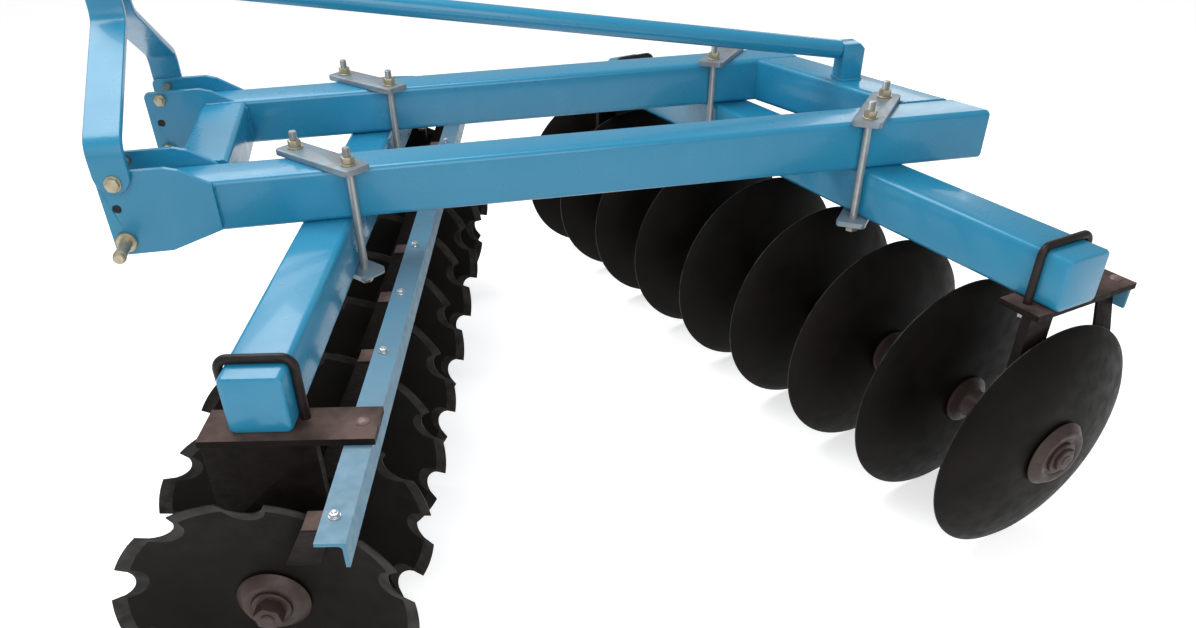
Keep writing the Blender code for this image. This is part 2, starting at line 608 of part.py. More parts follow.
def build_u_bolt(name, t, carrier):
    """A U-bolt over the gang beam, through the hanger's base plate, with its two nuts."""
    leg_y = u_bolt_leg_y()
    crown = GANG_TOP + GAP + U_BOLT_RADIUS
    low = BASE_BOTTOM - NUT_HEIGHT - U_BOLT_OVERRUN
    half = [(leg_y, low), *arc((leg_y - U_BOLT_BEND, crown - U_BOLT_BEND), U_BOLT_BEND, 0, 90, 4)]
    profile = [(t, y, z) for y, z in half] + [(t, -y, z) for y, z in half[::-1]]
    curve = bpy.data.curves.new(name, "CURVE")
    curve.dimensions = "3D"
    poly_spline(curve, profile)
    curve.bevel_depth = U_BOLT_RADIUS
    curve.bevel_resolution = 2
    curve.use_fill_caps = True
    bolt = add_object(name, curve_mesh(curve, smooth=True), carrier, "brown_black_paint")
    for y in (leg_y, -leg_y):
        top = BASE_BOTTOM - GAP
        union(bolt, cylinder_mesh(NUT_RADIUS, (t, y, top - NUT_HEIGHT), (t, y, top), 6))


# ---------------------------------------------------------------- gangs: scrapers, axle, discs
def scraper_mesh(gang, middle, root_z, tip_z):
    """A scraper's blade, its face along the disc: it widens and leans from its root to its tip."""
    _, root_n = gang["scraper"]
    lean_t, lean_n = gang["lean"]
    mesh = box_mesh((middle - SCRAPER_THICKNESS / 2, -root_n - SCRAPER_WIDTH / 2, tip_z),
                    (middle + SCRAPER_THICKNESS / 2, -root_n + SCRAPER_WIDTH / 2, root_z))
    for vertex in mesh.vertices:
        share = (root_z - vertex.co.z) / (root_z - tip_z)
        widening = 1 + share * (SCRAPER_TIP_WIDTH / SCRAPER_WIDTH - 1)
        vertex.co.y = -root_n + (vertex.co.y + root_n) * widening - share * lean_n
        vertex.co.x += share * lean_t
    return mesh


def build_scraper_bar(name, gang, carrier):
    """An angle bar under the hangers' arms, with one scraper for each disc on a foot under it."""
    rims = rim_planes(gang)
    root_t, root_n = gang["scraper"]
    top = BASE_BOTTOM - GAP
    rear_y = -gang["bar_n"]
    left = gang["bar_left"]
    right = rims[-1] + root_t - SCRAPER_WIDTH
    bar = add_object(f"{name}_scraper_bar",
                     box_mesh((right, rear_y - ANGLE_LEG, top - ANGLE_THICKNESS), (left, rear_y, top)),
                     carrier, "blue_paint")
    union(bar, box_mesh((right, rear_y - ANGLE_THICKNESS, top - ANGLE_LEG),
                        (left, rear_y, top - ANGLE_THICKNESS / 2)))
    foot_top = top - ANGLE_THICKNESS + SINK
    foot_bottom = foot_top - SCRAPER_THICKNESS - SINK
    front_y = -root_n - SCRAPER_WIDTH / 2
    for rim in rims:
        middle = rim + root_t
        union(bar, box_mesh((middle - SCRAPER_WIDTH / 2, front_y, foot_bottom),
                            (middle + SCRAPER_WIDTH / 2, rear_y - SCRAPER_SEAT, foot_top)))
        union(bar, scraper_mesh(gang, middle, foot_bottom + SINK, 2 * DISC_RADIUS - SCRAPER_REACH))


def disc_profile():
    """Half section of a blade as (radius, height): height 0 is the rim plane on the hollow side."""
    dish_width = DISC_RADIUS - DISC_FLAT_RADIUS
    sphere = (dish_width ** 2 + DISC_DEPTH ** 2) / (2 * DISC_DEPTH)
    hollow = [(DISC_BORE, -DISC_DEPTH)]
    for share in (0, 0.5, 1):
        reach = dish_width * share
        hollow.append((DISC_FLAT_RADIUS + reach, sphere - math.sqrt(sphere ** 2 - reach ** 2) - DISC_DEPTH))
    crown = [(radius, height - DISC_THICKNESS) for radius, height in hollow[:-1]]
    return hollow + [(DISC_RADIUS, -DISC_THICKNESS / 2)] + crown[::-1]


def turned_object(name, profile, steps, closed, parent, finish_name):
    """A profile of (radius, height), from its upper end down its outer side, turned about local Z.

    Local Z lies along the gang, towards its left end, and local X points down."""
    mesh = bpy.data.meshes.new(name)
    edges = [(i, i + 1) for i in range(len(profile) - 1)]
    if closed:
        edges.append((len(profile) - 1, 0))
    mesh.from_pydata([(radius, 0.0, height) for radius, height in profile], edges, [])
    obj = add_object(name, mesh, parent, finish_name)
    obj.rotation_euler.y = math.pi / 2
    screw = obj.modifiers.new("Turn", "SCREW")
    screw.steps = steps
    screw.render_steps = steps
    screw.use_merge_vertices = not closed
    screw.merge_threshold = 0.00001
    return obj


def axle_profile(gang):
    """Half section of a gang's axle as (radius, place along the gang), from its left end."""
    half = DISC_THICKNESS / 2 + GAP
    seats = [rim - gang["dish"] * (DISC_DEPTH + DISC_THICKNESS / 2) for rim in rim_planes(gang)]
    face = END_WASHER_LENGTH
    # radius and distance outwards from the end blade
    end = ((0.0, face + gang["nut"]), (END_NUT_RADIUS, face + gang["nut"]), (END_NUT_RADIUS, face),
           (gang["washer"] - END_WASHER_TAPER, face), (gang["washer"], END_WASHER_LIP), (SPOOL_FLARE, 0.0),
           (AXLE_RADIUS, 0.0))
    left, right = seats[0] + half, seats[-1] - half
    points = [(radius, left + out) for radius, out in end]
    for seat, following in zip(seats, seats[1:]):
        start, stop = seat - half, following + half
        points += [(AXLE_RADIUS, start), (SPOOL_FLARE, start), (SPOOL_RADIUS, start - FLARE_LENGTH),
                   (SPOOL_RADIUS, stop + FLARE_LENGTH), (SPOOL_FLARE, stop), (AXLE_RADIUS, stop)]
    return points + [(radius, right - out) for radius, out in end[::-1]]


def build_axle(name, gang, carrier):
    """Square axle, spools and end nuts of a gang as one turned piece."""
    turned_object(f"{name}_gang_axle", axle_profile(gang), AXLE_STEPS, False, carrier, "brown_black_paint")


def build_discs(name, gang, carrier):
    """The gang's blades; the front gang's are notched."""
    profile = [(radius, gang["dish"] * height) for radius, height in disc_profile()]
    if gang["dish"] < 0:
        profile.reverse()
    for number, rim in enumerate(rim_planes(gang), start=1):
        disc = turned_object(f"{name}_disc_{number}", profile, DISC_STEPS, True, carrier, "black_blade")
        disc.location.x = rim
        if name == "front":
            quarter = math.pi / 2 if number in QUARTER_TURNED_DISCS else 0.0
            cut_notches(disc, NOTCH_PHASE + quarter)


def cut_notches(disc, phase):
    """Cut rounded notches into a blade's edge; phase is counted from forwards, upwards."""
    middle = DISC_RADIUS - NOTCH_DEPTH + NOTCH_RADIUS
    bm = bmesh.new()
    for i in range(NOTCHES):
        angle = phase + 2 * math.pi * i / NOTCHES
        ring = bmesh.ops.create_cone(bm, cap_ends=True, segments=12, radius1=NOTCH_RADIUS,
                                     radius2=NOTCH_RADIUS, depth=4 * DISC_DEPTH)
        away = (-middle * math.sin(angle), -middle * math.cos(angle), 0)
        bmesh.ops.translate(bm, vec=away, verts=ring["verts"])
    boolean(disc, to_mesh(bm))


def build_gang(name, root):
    """One whole gang: what is fixed under the frame, and what turns on the axle."""
    gang = GANGS[name]
    carrier = add_empty(f"{name}_gang_frame", root, (gang["beam_x"], 0, 0), math.pi / 2 - gang["yaw"])
    build_gang_beam(name, gang, carrier)
    for side, beam_y in (("left", LEFT_BEAM_Y), ("right", RIGHT_BEAM_Y)):
        build_clamp(f"{name}_{side}_clamp", gang, beam_y, root)
    for row in (placed(gang, row) for row in HANGERS[name]):
        build_hanger(f"{name}_{row['side']}_hanger", gang, row, carrier)
        build_u_bolt(f"{name}_{row['side']}_u_bolt", row["u_bolt"], carrier)
    build_scraper_bar(name, gang, carrier)
    axle = add_empty(f"{name}_axle_line", carrier, (0, -gang["axle_n"], DISC_RADIUS))
    build_axle(name, gang, axle)
    build_discs(name, gang, axle)


def centre_on_origin(root):
    """Move the harrow so that the middle of its box's floor is the world origin."""
    bpy.context.view_layer.update()
    graph = bpy.context.evaluated_depsgraph_get()
    corners = []
    for obj in PARTS.objects:
        if obj.type == "MESH":
            solid = obj.evaluated_get(graph)
            corners += [obj.matrix_world @ vertex.co for vertex in solid.data.vertices]
    low = [min(corner[axis] for corner in corners) for axis in range(3)]
    high = [max(corner[axis] for corner in corners) for axis in range(3)]
    root.location = (-(low[0] + high[0]) / 2, -(low[1] + high[1]) / 2, -low[2])
    bpy.context.view_layer.update()


clear_scene()
PARTS = collection("disc_harrow")
CUTTERS = collection("cutters")
HARROW = add_empty("harrow")
build_main_beam("left_main_beam", 0.0, HARROW)
build_main_beam("right_main_beam", -FRAME_WIDTH + TUBE, HARROW)
build_cross_beams(HARROW)
build_hitch(HARROW)
build_mast(HARROW)
build_stay(HARROW)
build_gang("front", HARROW)
build_gang("rear", HARROW)
centre_on_origin(HARROW)
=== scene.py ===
"""Looks of a mounted offset disc harrow: a glossy painted frame over two gangs of black blades."""
import json
import logging
import math
from dataclasses import dataclass, field
from enum import Enum

import bmesh
import bpy
from mathutils import Matrix, Vector


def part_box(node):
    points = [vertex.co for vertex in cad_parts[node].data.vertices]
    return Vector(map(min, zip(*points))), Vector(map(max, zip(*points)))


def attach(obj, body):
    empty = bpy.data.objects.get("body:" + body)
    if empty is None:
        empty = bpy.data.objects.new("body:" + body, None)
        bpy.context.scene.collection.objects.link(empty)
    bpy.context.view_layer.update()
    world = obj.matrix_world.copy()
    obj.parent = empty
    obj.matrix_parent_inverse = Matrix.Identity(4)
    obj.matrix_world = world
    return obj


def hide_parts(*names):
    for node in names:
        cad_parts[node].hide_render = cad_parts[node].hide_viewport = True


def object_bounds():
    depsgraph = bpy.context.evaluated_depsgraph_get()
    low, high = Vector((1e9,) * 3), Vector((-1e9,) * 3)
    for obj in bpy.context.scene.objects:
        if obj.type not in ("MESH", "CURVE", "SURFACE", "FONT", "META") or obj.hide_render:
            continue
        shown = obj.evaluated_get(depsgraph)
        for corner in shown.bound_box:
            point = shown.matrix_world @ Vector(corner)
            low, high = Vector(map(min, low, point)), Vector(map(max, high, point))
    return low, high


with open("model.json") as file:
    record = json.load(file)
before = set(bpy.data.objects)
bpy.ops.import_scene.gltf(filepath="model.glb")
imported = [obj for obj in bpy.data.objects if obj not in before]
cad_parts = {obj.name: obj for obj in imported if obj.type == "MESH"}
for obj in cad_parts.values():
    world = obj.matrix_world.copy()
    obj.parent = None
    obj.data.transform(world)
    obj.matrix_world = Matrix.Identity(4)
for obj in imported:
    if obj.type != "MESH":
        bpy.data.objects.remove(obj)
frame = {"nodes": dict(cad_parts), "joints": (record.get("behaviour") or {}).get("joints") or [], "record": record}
CAD_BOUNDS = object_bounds()
LOG = logging.getLogger("harrow")
Point = tuple[float, float, float]
SMOOTH_ANGLE = math.radians(33)


class Slot(Enum):
    """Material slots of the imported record."""
    BLUE = "blue_paint"
    BLADE = "black_blade"
    BRACKET = "brown_black_paint"
    ZINC = "zinc_plate"
    BOLT = "bright_bolt"


class Along(Enum):
    """Which of a box's edges are rounded."""
    X = 0
    Y = 1
    Z = 2
    ALL = 3


# ---------------------------------------------------------------- finishes
@dataclass(frozen=True)
class Coating:
    """A coat of paint or plating, with patches of tone, a lighter colour on what faces up (dust, and on the bracket
    paint also painted sheen), and fine grain.
    """
    name: str
    slot: Slot
    colour: Point
    patch_colour: Point
    patch_scale: float = 6.0
    patch_share: float = 0.35
    dust_and_sheen_colour: Point = (0.30, 0.27, 0.24)
    dust_and_sheen_share: float = 0.0
    roughness: float = 0.3
    roughness_spread: float = 0.08
    metallic: float = 0.0
    coat: float = 0.0
    specular: float = 0.5
    bump: float = 0.05
    bump_scale: float = 180.0

    def material(self) -> bpy.types.Material:
        """Build the node material, or return it if it is already there.

        Returns:
            The coating's material.
        """
        found = bpy.data.materials.get(self.name)
        if found:
            return found
        material = bpy.data.materials.new(self.name)
        material.use_nodes = True
        tree = material.node_tree
        shader = tree.nodes["Principled BSDF"]
        shader.inputs["Metallic"].default_value = self.metallic
        shader.inputs["Coat Weight"].default_value = self.coat
        shader.inputs["Coat Roughness"].default_value = 0.08
        shader.inputs["Specular IOR Level"].default_value = self.specular
        place = tree.nodes.new("ShaderNodeTexCoord")
        patches = self.ranged(tree, self.noise(tree, place, self.patch_scale, 5.0), 0.38, 0.66, 0.0, self.patch_share)
        colour = self.blend(tree, patches, self.colour, self.patch_colour)
        # Up-facing faces get a lighter colour: dust, and on the bracket paint also a painted sheen.
        if self.dust_and_sheen_share:
            colour = self.add_dust_and_sheen(tree, place, colour)
        tree.links.new(colour, shader.inputs["Base Color"])
        gloss = self.ranged(tree, self.noise(tree, place, self.patch_scale * 4, 3.0), 0.3, 0.7,
                            self.roughness - self.roughness_spread, self.roughness + self.roughness_spread)
        tree.links.new(gloss, shader.inputs["Roughness"])
        bump = tree.nodes.new("ShaderNodeBump")
        bump.inputs["Strength"].default_value = self.bump
        bump.inputs["Distance"].default_value = 0.002
        tree.links.new(self.noise(tree, place, self.bump_scale, 2.0), bump.inputs["Height"])
        tree.links.new(bump.outputs["Normal"], shader.inputs["Normal"])
        return material

    def add_dust_and_sheen(self, tree: bpy.types.NodeTree, place: bpy.types.Node, colour: bpy.types.NodeSocket) -> bpy.types.NodeSocket:
        """Lay an uneven lighter colour over what faces up: dust, and on the dark bracket paint also a painted sheen.

        Args:
            tree: The material's node tree.
            place: Its texture coordinate node.
            colour: The colour under the dust and sheen.

        Returns:
            The colour with dust and painted sheen laid on.
        """
        facing = tree.nodes.new("ShaderNodeSeparateXYZ")
        geometry = tree.nodes.new("ShaderNodeNewGeometry")
        tree.links.new(geometry.outputs["Normal"], facing.inputs[0])
        up = self.ranged(tree, facing.outputs["Z"], 0.2, 1.0, 0.0, self.dust_and_sheen_share)
        share = tree.nodes.new("ShaderNodeMath")
        share.operation = "MULTIPLY"
        tree.links.new(up, share.inputs[0])
        tree.links.new(self.ranged(tree, self.noise(tree, place, 14.0, 6.0), 0.35, 0.65, 0.2, 1.0), share.inputs[1])
        return self.blend(tree, share.outputs[0], colour, self.dust_and_sheen_colour)

    @staticmethod
    def noise(tree: bpy.types.NodeTree, place: bpy.types.Node, scale: float, detail: float) -> bpy.types.NodeSocket:
        """Add a noise texture that lies in the object's own space.

        Args:
            tree: The material's node tree.
            place: Its texture coordinate node.
            scale: Cells to a metre.
            detail: Octaves of finer noise.

        Returns:
            The noise value.
        """
        node = tree.nodes.new("ShaderNodeTexNoise")
        node.inputs["Scale"].default_value = scale
        node.inputs["Detail"].default_value = detail
        tree.links.new(place.outputs["Object"], node.inputs["Vector"])
        return node.outputs["Fac"]

    @staticmethod
    def ranged(tree: bpy.types.NodeTree, value: bpy.types.NodeSocket, low: float, high: float, to_low: float,
               to_high: float) -> bpy.types.NodeSocket:
        """Stretch a value from one range to another.

        Args:
            tree: The material's node tree.
            value: What is stretched.
            low: Start of the first range.
            high: End of the first range.
            to_low: Start of the second range.
            to_high: End of the second range.

        Returns:
            The stretched value.
        """
        node = tree.nodes.new("ShaderNodeMapRange")
        node.inputs["From Min"].default_value = low
        node.inputs["From Max"].default_value = high
        node.inputs["To Min"].default_value = to_low
        node.inputs["To Max"].default_value = to_high
        tree.links.new(value, node.inputs["Value"])
        return node.outputs["Result"]

    @staticmethod
    def blend(tree: bpy.types.NodeTree, share: bpy.types.NodeSocket, first: object, second: object) -> bpy.types.NodeSocket:
        """Mix two colours, each a colour or a socket.

        Args:
            tree: The material's node tree.
            share: How much of the second shows.
            first: The first colour.
            second: The second colour.

        Returns:
            The mixed colour.
        """
        node = tree.nodes.new("ShaderNodeMix")
        node.data_type = "RGBA"
        tree.links.new(share, node.inputs["Factor"])
        for socket, colour in ((node.inputs[6], first), (node.inputs[7], second)):
            if isinstance(colour, bpy.types.NodeSocket):
                tree.links.new(colour, socket)
            else:
                socket.default_value = (*colour, 1.0)
        return node.outputs[2]


BLUE_PAINT = Coating("blue_gloss_paint", Slot.BLUE, (0.020, 0.262, 0.450), (0.016, 0.228, 0.415),
                     roughness=0.30, roughness_spread=0.04, coat=0.25, bump=0.0)
DULL_BLUE = Coating("dull_blue_paint", Slot.BLUE, (0.062, 0.225, 0.345), (0.048, 0.180, 0.290), patch_scale=14.0,
                    patch_share=0.6, roughness=0.42, bump=0.03, dust_and_sheen_share=0.25, dust_and_sheen_colour=(0.22, 0.26, 0.28))
BLADE_BLACK = Coating("black_blade_paint", Slot.BLADE, (0.0052, 0.0044, 0.0038), (0.0110, 0.0088, 0.0072),
                      patch_scale=9.0, patch_share=0.8, roughness=0.50, roughness_spread=0.08, specular=0.07,
                      bump=0.04, bump_scale=120.0)
# Lighter, glossier coating on the blades' ground rims: worn bare patches, and partly a painted highlight standing in
# for the bright line the thin rim catches.
BLADE_EDGE_WEAR_AND_HIGHLIGHT = Coating("ground_blade_edge_and_highlight", Slot.BLADE, (0.008, 0.007, 0.006), (0.070, 0.064, 0.058), patch_scale=34.0,
                     patch_share=0.5, roughness=0.42, specular=0.15, bump=0.05)
# The pinkish brown laid on its up-facing faces is partly dust and partly a painted sheen: the warm brown light that the
# dark paint reflects on top faces.
BRACKET_BROWN = Coating("brown_black_bracket", Slot.BRACKET, (0.0065, 0.0052, 0.0046), (0.018, 0.012, 0.010),
                        patch_scale=22.0, patch_share=0.7, roughness=0.55, roughness_spread=0.12, specular=0.10,
                        bump=0.10, dust_and_sheen_share=0.75, dust_and_sheen_colour=(0.17, 0.112, 0.098))
HUB_BROWN = Coating("hub_brown", Slot.BRACKET, (0.062, 0.041, 0.035), (0.032, 0.022, 0.019), patch_scale=26.0,
                    patch_share=0.8, roughness=0.44, roughness_spread=0.10, specular=0.25, bump=0.08)
ROD_BLACK = Coating("black_rod", Slot.BRACKET, (0.010, 0.008, 0.008), (0.030, 0.020, 0.017), patch_scale=40.0,
                    patch_share=0.6, roughness=0.42, specular=0.25, bump=0.05)
ZINC = Coating("zinc_plating", Slot.ZINC, (0.230, 0.325, 0.395), (0.260, 0.245, 0.250), patch_scale=30.0,
               patch_share=0.8, roughness=0.40, metallic=0.35, bump=0.05)
STUD_ZINC = Coating("stud_zinc", Slot.ZINC, (0.40, 0.42, 0.42), (0.28, 0.28, 0.27), patch_scale=60.0,
                    roughness=0.38, metallic=0.6, bump=0.05)
BOLT = Coating("yellow_zinc", Slot.BOLT, (0.50, 0.45, 0.32), (0.34, 0.28, 0.19), patch_scale=60.0,
               patch_share=0.7, roughness=0.36, metallic=0.6, bump=0.05)
ARM_BOLT = Coating("dusty_bolt", Slot.BRACKET, (0.26, 0.19, 0.17), (0.10, 0.07, 0.06), patch_scale=60.0,
                   patch_share=0.7, roughness=0.45, metallic=0.3, bump=0.05)
WHITE_ZINC = Coating("bright_zinc", Slot.BOLT, (0.72, 0.74, 0.78), (0.50, 0.50, 0.52), patch_scale=60.0,
                     patch_share=0.6, roughness=0.28, metallic=0.8, bump=0.05)
COATINGS = {coating.slot.value: coating for coating in (BLUE_PAINT, BLADE_BLACK, BRACKET_BROWN, ZINC, BOLT)}


# ---------------------------------------------------------------- axes
@dataclass
class Datum:
    """The harrow's own axes: X = 0 at the left beam's rear corner, Y = 0 at its outer face, Z = 0 at the floor."""
    beam_front: float = 1.675
    frame_top: float = 0.7575
    origin: Vector = field(init=False)

    def __post_init__(self) -> None:
        """Read the left main beam's front, outer and top faces."""
        _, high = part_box("left_main_beam")
        self.origin = Vector((high.x - self.beam_front, high.y, high.z - self.frame_top))

    def at(self, x: float, y: float, z: float) -> Vector:
        """Turn a place in the harrow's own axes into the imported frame."""
        return self.origin + Vector((x, y, z))

    def matrix(self) -> Matrix:
        """Give the move from the harrow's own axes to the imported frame."""
        return Matrix.Translation(self.origin)


@dataclass
class GangAxes:
    """A gang's axes: local X runs along it to the left end, local Y to the rear, local Z up.

    The local origin is on the gang beam's middle line, on the floor."""
    name: str
    axle_n: float
    crossing_t: float = 0.25
    place: Matrix = field(init=False)

    def __post_init__(self) -> None:
        """Read the gang's joint, which lies on its axle."""
        joint = next(joint for joint in frame["joints"] if joint["child"] == self.body)
        along = Vector(joint["axis"]).normalized()
        rearward = Vector((-along.y, along.x, 0.0))
        floor = Vector((joint["pos_m"][0], joint["pos_m"][1], 0.0))
        origin = floor + along * self.crossing_t + rearward * self.axle_n
        self.place = Matrix.Translation(origin) @ Matrix((along, rearward, (0, 0, 1))).transposed().to_4x4()

    @property
    def body(self) -> str:
        """Name the CAD body that turns."""
        return f"{self.name}_gang"


# ---------------------------------------------------------------- mesh making
@dataclass
class Forge:
    """Gathers closed shapes in one set of axes, then makes them one piece."""
    place: Matrix
    mesh: bmesh.types.BMesh = field(default_factory=bmesh.new)

    def box(self, low: Point, high: Point, round_edges: float = 0.0015, along: Along = Along.ALL,
            segments: int = 2) -> list[bmesh.types.BMVert]:
        """Add a box with rounded edges.

        Args:
            low: Its lowest corner.
            high: Its highest corner.
            round_edges: Width of the rounding.
            along: Which edges are rounded.
            segments: Steps of the rounding.

        Returns:
            Its vertices.
        """
        made = bmesh.new()
        bmesh.ops.create_cube(made, size=1.0)
        size = Vector(high) - Vector(low)
        bmesh.ops.scale(made, vec=size, verts=made.verts)
        bmesh.ops.translate(made, vec=(Vector(low) + Vector(high)) / 2, verts=made.verts)
        if round_edges:
            edges = [edge for edge in made.edges if along is Along.ALL
                     or abs((edge.verts[0].co - edge.verts[1].co)[along.value]) > size[along.value] / 2]
            bmesh.ops.bevel(made, geom=edges, offset=round_edges, segments=segments, profile=0.5, affect="EDGES")
        return self.take(made)

    def take(self, made: bmesh.types.BMesh, move: Matrix = Matrix()) -> list[bmesh.types.BMVert]:
        """Take over another mesh's shapes.

        Args:
            made: The other mesh, which is freed.
            move: Where it goes in this forge's axes.

        Returns:
            The vertices taken over.
        """
        bmesh.ops.recalc_face_normals(made, faces=made.faces)
        held = bpy.data.meshes.new("held")
        made.to_mesh(held)
        made.free()
        held.transform(move)
        before = set(self.mesh.verts)
        self.mesh.from_mesh(held)
        bpy.data.meshes.remove(held)
        return [vertex for vertex in self.mesh.verts if vertex not in before]

    def turned(self, start: Point, direction: Point, profile: list[tuple[float, float]], steps: int = 32) -> None:
        """Add a shape turned about a line.

        Args:
            start: Where the line starts.
            direction: Which way it runs.
            profile: Rows of radius and distance along the line; the ends are closed flat.
            steps: Sides of the turned shape.
        """
        made = bmesh.new()
        rings = []
        for radius, height in profile:
            rings.append([made.verts.new((radius * math.cos(2 * math.pi * k / steps),
                                          radius * math.sin(2 * math.pi * k / steps), height)) for k in range(steps)])
        for here, there in zip(rings, rings[1:]):
            for k in range(steps):
                made.faces.new((here[k], here[(k + 1) % steps], there[(k + 1) % steps], there[k]))
        made.faces.new(rings[0])
        made.faces.new(rings[-1])
        turn = Vector(direction).to_track_quat("Z", "Y").to_matrix().to_4x4()
        self.take(made, Matrix.Translation(start) @ turn)

    def rod(self, start: Point, end: Point, radius: float, steps: int = 24, chamfer: float = 0.001) -> None:
        """Add a round rod with chamfered ends.

        Args:
            start: Middle of one end.
            end: Middle of the other.
            radius: Its radius.
            steps: Its sides.
            chamfer: Width of the chamfers.
        """
        length = (Vector(end) - Vector(start)).length
        self.turned(start, Vector(end) - Vector(start),
                    [(radius - chamfer, 0), (radius, chamfer), (radius, length - chamfer), (radius - chamfer, length)],
                    steps)

    def threaded(self, start: Point, end: Point, radius: float, pitch: float = 0.002) -> None:
        """Add a threaded rod, its thread as rings.

        Args:
            start: Middle of one end.
            end: Middle of the other.
            radius: Outer radius of the thread.
            pitch: Distance between rings.
        """
        length = (Vector(end) - Vector(start)).length
        profile = [(radius * 0.8, 0.0)]
        for i in range(int(length / pitch)):
            profile += [(radius * 0.88, i * pitch), (radius, (i + 0.5) * pitch)]
        profile.append((radius * 0.8, length))
        self.turned(start, Vector(end) - Vector(start), profile, 16)

    def hexagon(self, start: Point, direction: Point, radius: float, height: float, turn: float = 0.0) -> None:
        """Add a hexagon nut or bolt head with its corners turned off.

        Args:
            start: Middle of its near face.
            direction: Which way it rises.
            radius: Half the distance across its corners.
            height: Its height.
            turn: How far it is turned on its bolt, in radians.
        """
        made = bmesh.new()
        bmesh.ops.create_cone(made, cap_ends=True, segments=6, radius1=radius, radius2=radius, depth=height)
        bmesh.ops.translate(made, vec=(0, 0, height / 2), verts=made.verts)
        rims = [edge for edge in made.edges if abs(edge.verts[0].co.z - edge.verts[1].co.z) < height / 2]
        bmesh.ops.bevel(made, geom=rims, offset=radius * 0.09, segments=2, profile=0.5, affect="EDGES")
        aim = Vector(direction).to_track_quat("Z", "Y").to_matrix().to_4x4()
        self.take(made, Matrix.Translation(start) @ aim @ Matrix.Rotation(turn, 4, "Z"))

    def swept(self, path: list[Point], sections: list[list[tuple[float, float]]], side: Point) -> None:
        """Add a bar along a flat path, with one cross-section at each of its points.

        Args:
            path: The points that the bar follows.
            sections: At each point, the outline as offsets across the path and along `side`.
            side: The direction square to the path's plane.
        """
        made = bmesh.new()
        aside = Vector(side).normalized()
        rings = []
        for i, here in enumerate(path):
            before = Vector(path[max(i - 1, 0)])
            after = Vector(path[min(i + 1, len(path) - 1)])
            across = (after - before).normalized().cross(aside)
            rings.append([made.verts.new(Vector(here) + across * a + aside * b) for a, b in sections[i]])
        count = len(sections[0])
        for here, there in zip(rings, rings[1:]):
            for k in range(count):
                made.faces.new((here[k], here[(k + 1) % count], there[(k + 1) % count], there[k]))
        made.faces.new(rings[0])
        made.faces.new(rings[-1])
        self.take(made)

    def weld(self, start: Point, end: Point, radius: float = 0.0035, ripple: float = 0.0045) -> None:
        """Add a weld bead, a row of ripples, between two points.

        Args:
            start: Where it starts.
            end: Where it ends.
            radius: Half its width.
            ripple: Distance between ripples.
        """
        length = (Vector(end) - Vector(start)).length
        count = max(2, round(length / ripple))
        step = length / count
        profile = [(radius * 0.4, 0.0)]
        for i in range(count):
            swell = 1.0 + 0.10 * math.sin(i * 1.7)
            profile += [(radius * 0.86 * swell, (i + 0.15) * step), (radius * swell, (i + 0.6) * step)]
        profile.append((radius * 0.4, length))
        self.turned(start, Vector(end) - Vector(start), profile, 10)

    def plate(self, outline: list[tuple[float, float]], low: float, high: float, across: Along,
              round_edges: float = 0.0015) -> list[bmesh.types.BMVert]:
        """Add a flat plate with rounded edges.

        Args:
            outline: Its outline, in the other two axes, in their order.
            low: Where it starts along `across`.
            high: Where it ends.
            across: The axis square to it.
            round_edges: Width of the rounding.

        Returns:
            Its vertices.
        """
        made = bmesh.new()
        axis = across.value

        def corner(point: tuple[float, float], level: float) -> Point:
            """Put the two coordinates and the level in order."""
            place = list(point)
            place.insert(axis, level)
            return tuple(place)

        face = made.faces.new([made.verts.new(corner(point, low)) for point in outline])
        lifted = bmesh.ops.extrude_face_region(made, geom=[face])
        moved = [item for item in lifted["geom"] if isinstance(item, bmesh.types.BMVert)]
        push = [0.0, 0.0, 0.0]
        push[axis] = high - low
        bmesh.ops.translate(made, vec=push, verts=moved)
        rims = [edge for edge in made.edges if abs((edge.verts[0].co - edge.verts[1].co)[axis]) < (high - low) / 2]
        if round_edges:
            bmesh.ops.bevel(made, geom=rims, offset=round_edges, segments=2, profile=0.5, affect="EDGES")
        return self.take(made)

    def piece(self, name: str, coating: Coating, body: str = "root", stands_for: tuple[str, ...] = ()) -> bpy.types.Object:
        """Make what was gathered one piece of the harrow.

        Args:
            name: The piece's name.
            coating: Its finish.
            body: The CAD body that it moves with.
            stands_for: The CAD nodes that it replaces.

        Returns:
            The piece.
        """
        mesh = bpy.data.meshes.new(name)
        self.mesh.to_mesh(mesh)
        self.mesh.free()
        mesh.transform(self.place)
        mesh.shade_smooth()
        mesh.set_sharp_from_angle(angle=SMOOTH_ANGLE)
        mesh.materials.append(coating.material())
        piece = bpy.data.objects.new(name, mesh)
        bpy.context.scene.collection.objects.link(piece)
        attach(piece, body)
        if stands_for:
            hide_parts(*stands_for)
        LOG.info("%s: %d faces, %s", name, len(mesh.polygons), coating.name)
        return piece


def arc(centre: tuple[float, float], radius: float, start: float, end: float, steps: int = 8) -> list[tuple[float, float]]:
    """List the points of an arc.

    Args:
        centre: Its middle.
        radius: Its radius.
        start: Its first angle, in degrees.
        end: Its last angle.
        steps: How many stretches it has.

    Returns:
        The points.
    """
    angles = [math.radians(start + (end - start) * i / steps) for i in range(steps + 1)]
    return [(centre[0] + radius * math.cos(angle), centre[1] + radius * math.sin(angle)) for angle in angles]


def rounded_rectangle(width: float, height: float, radius: float, steps: int = 5) -> list[tuple[float, float]]:
    """Outline a rectangle with round corners about the origin.

    Args:
        width: Its first side.
        height: Its second side.
        radius: Of its corners.
        steps: Stretches in each corner.

    Returns:
        The points.
    """
    right, top = width / 2 - radius, height / 2 - radius
    return (arc((right, top), radius, 0, 90, steps) + arc((-right, top), radius, 90, 180, steps)
            + arc((-right, -top), radius, 180, 270, steps) + arc((right, -top), radius, 270, 360, steps))


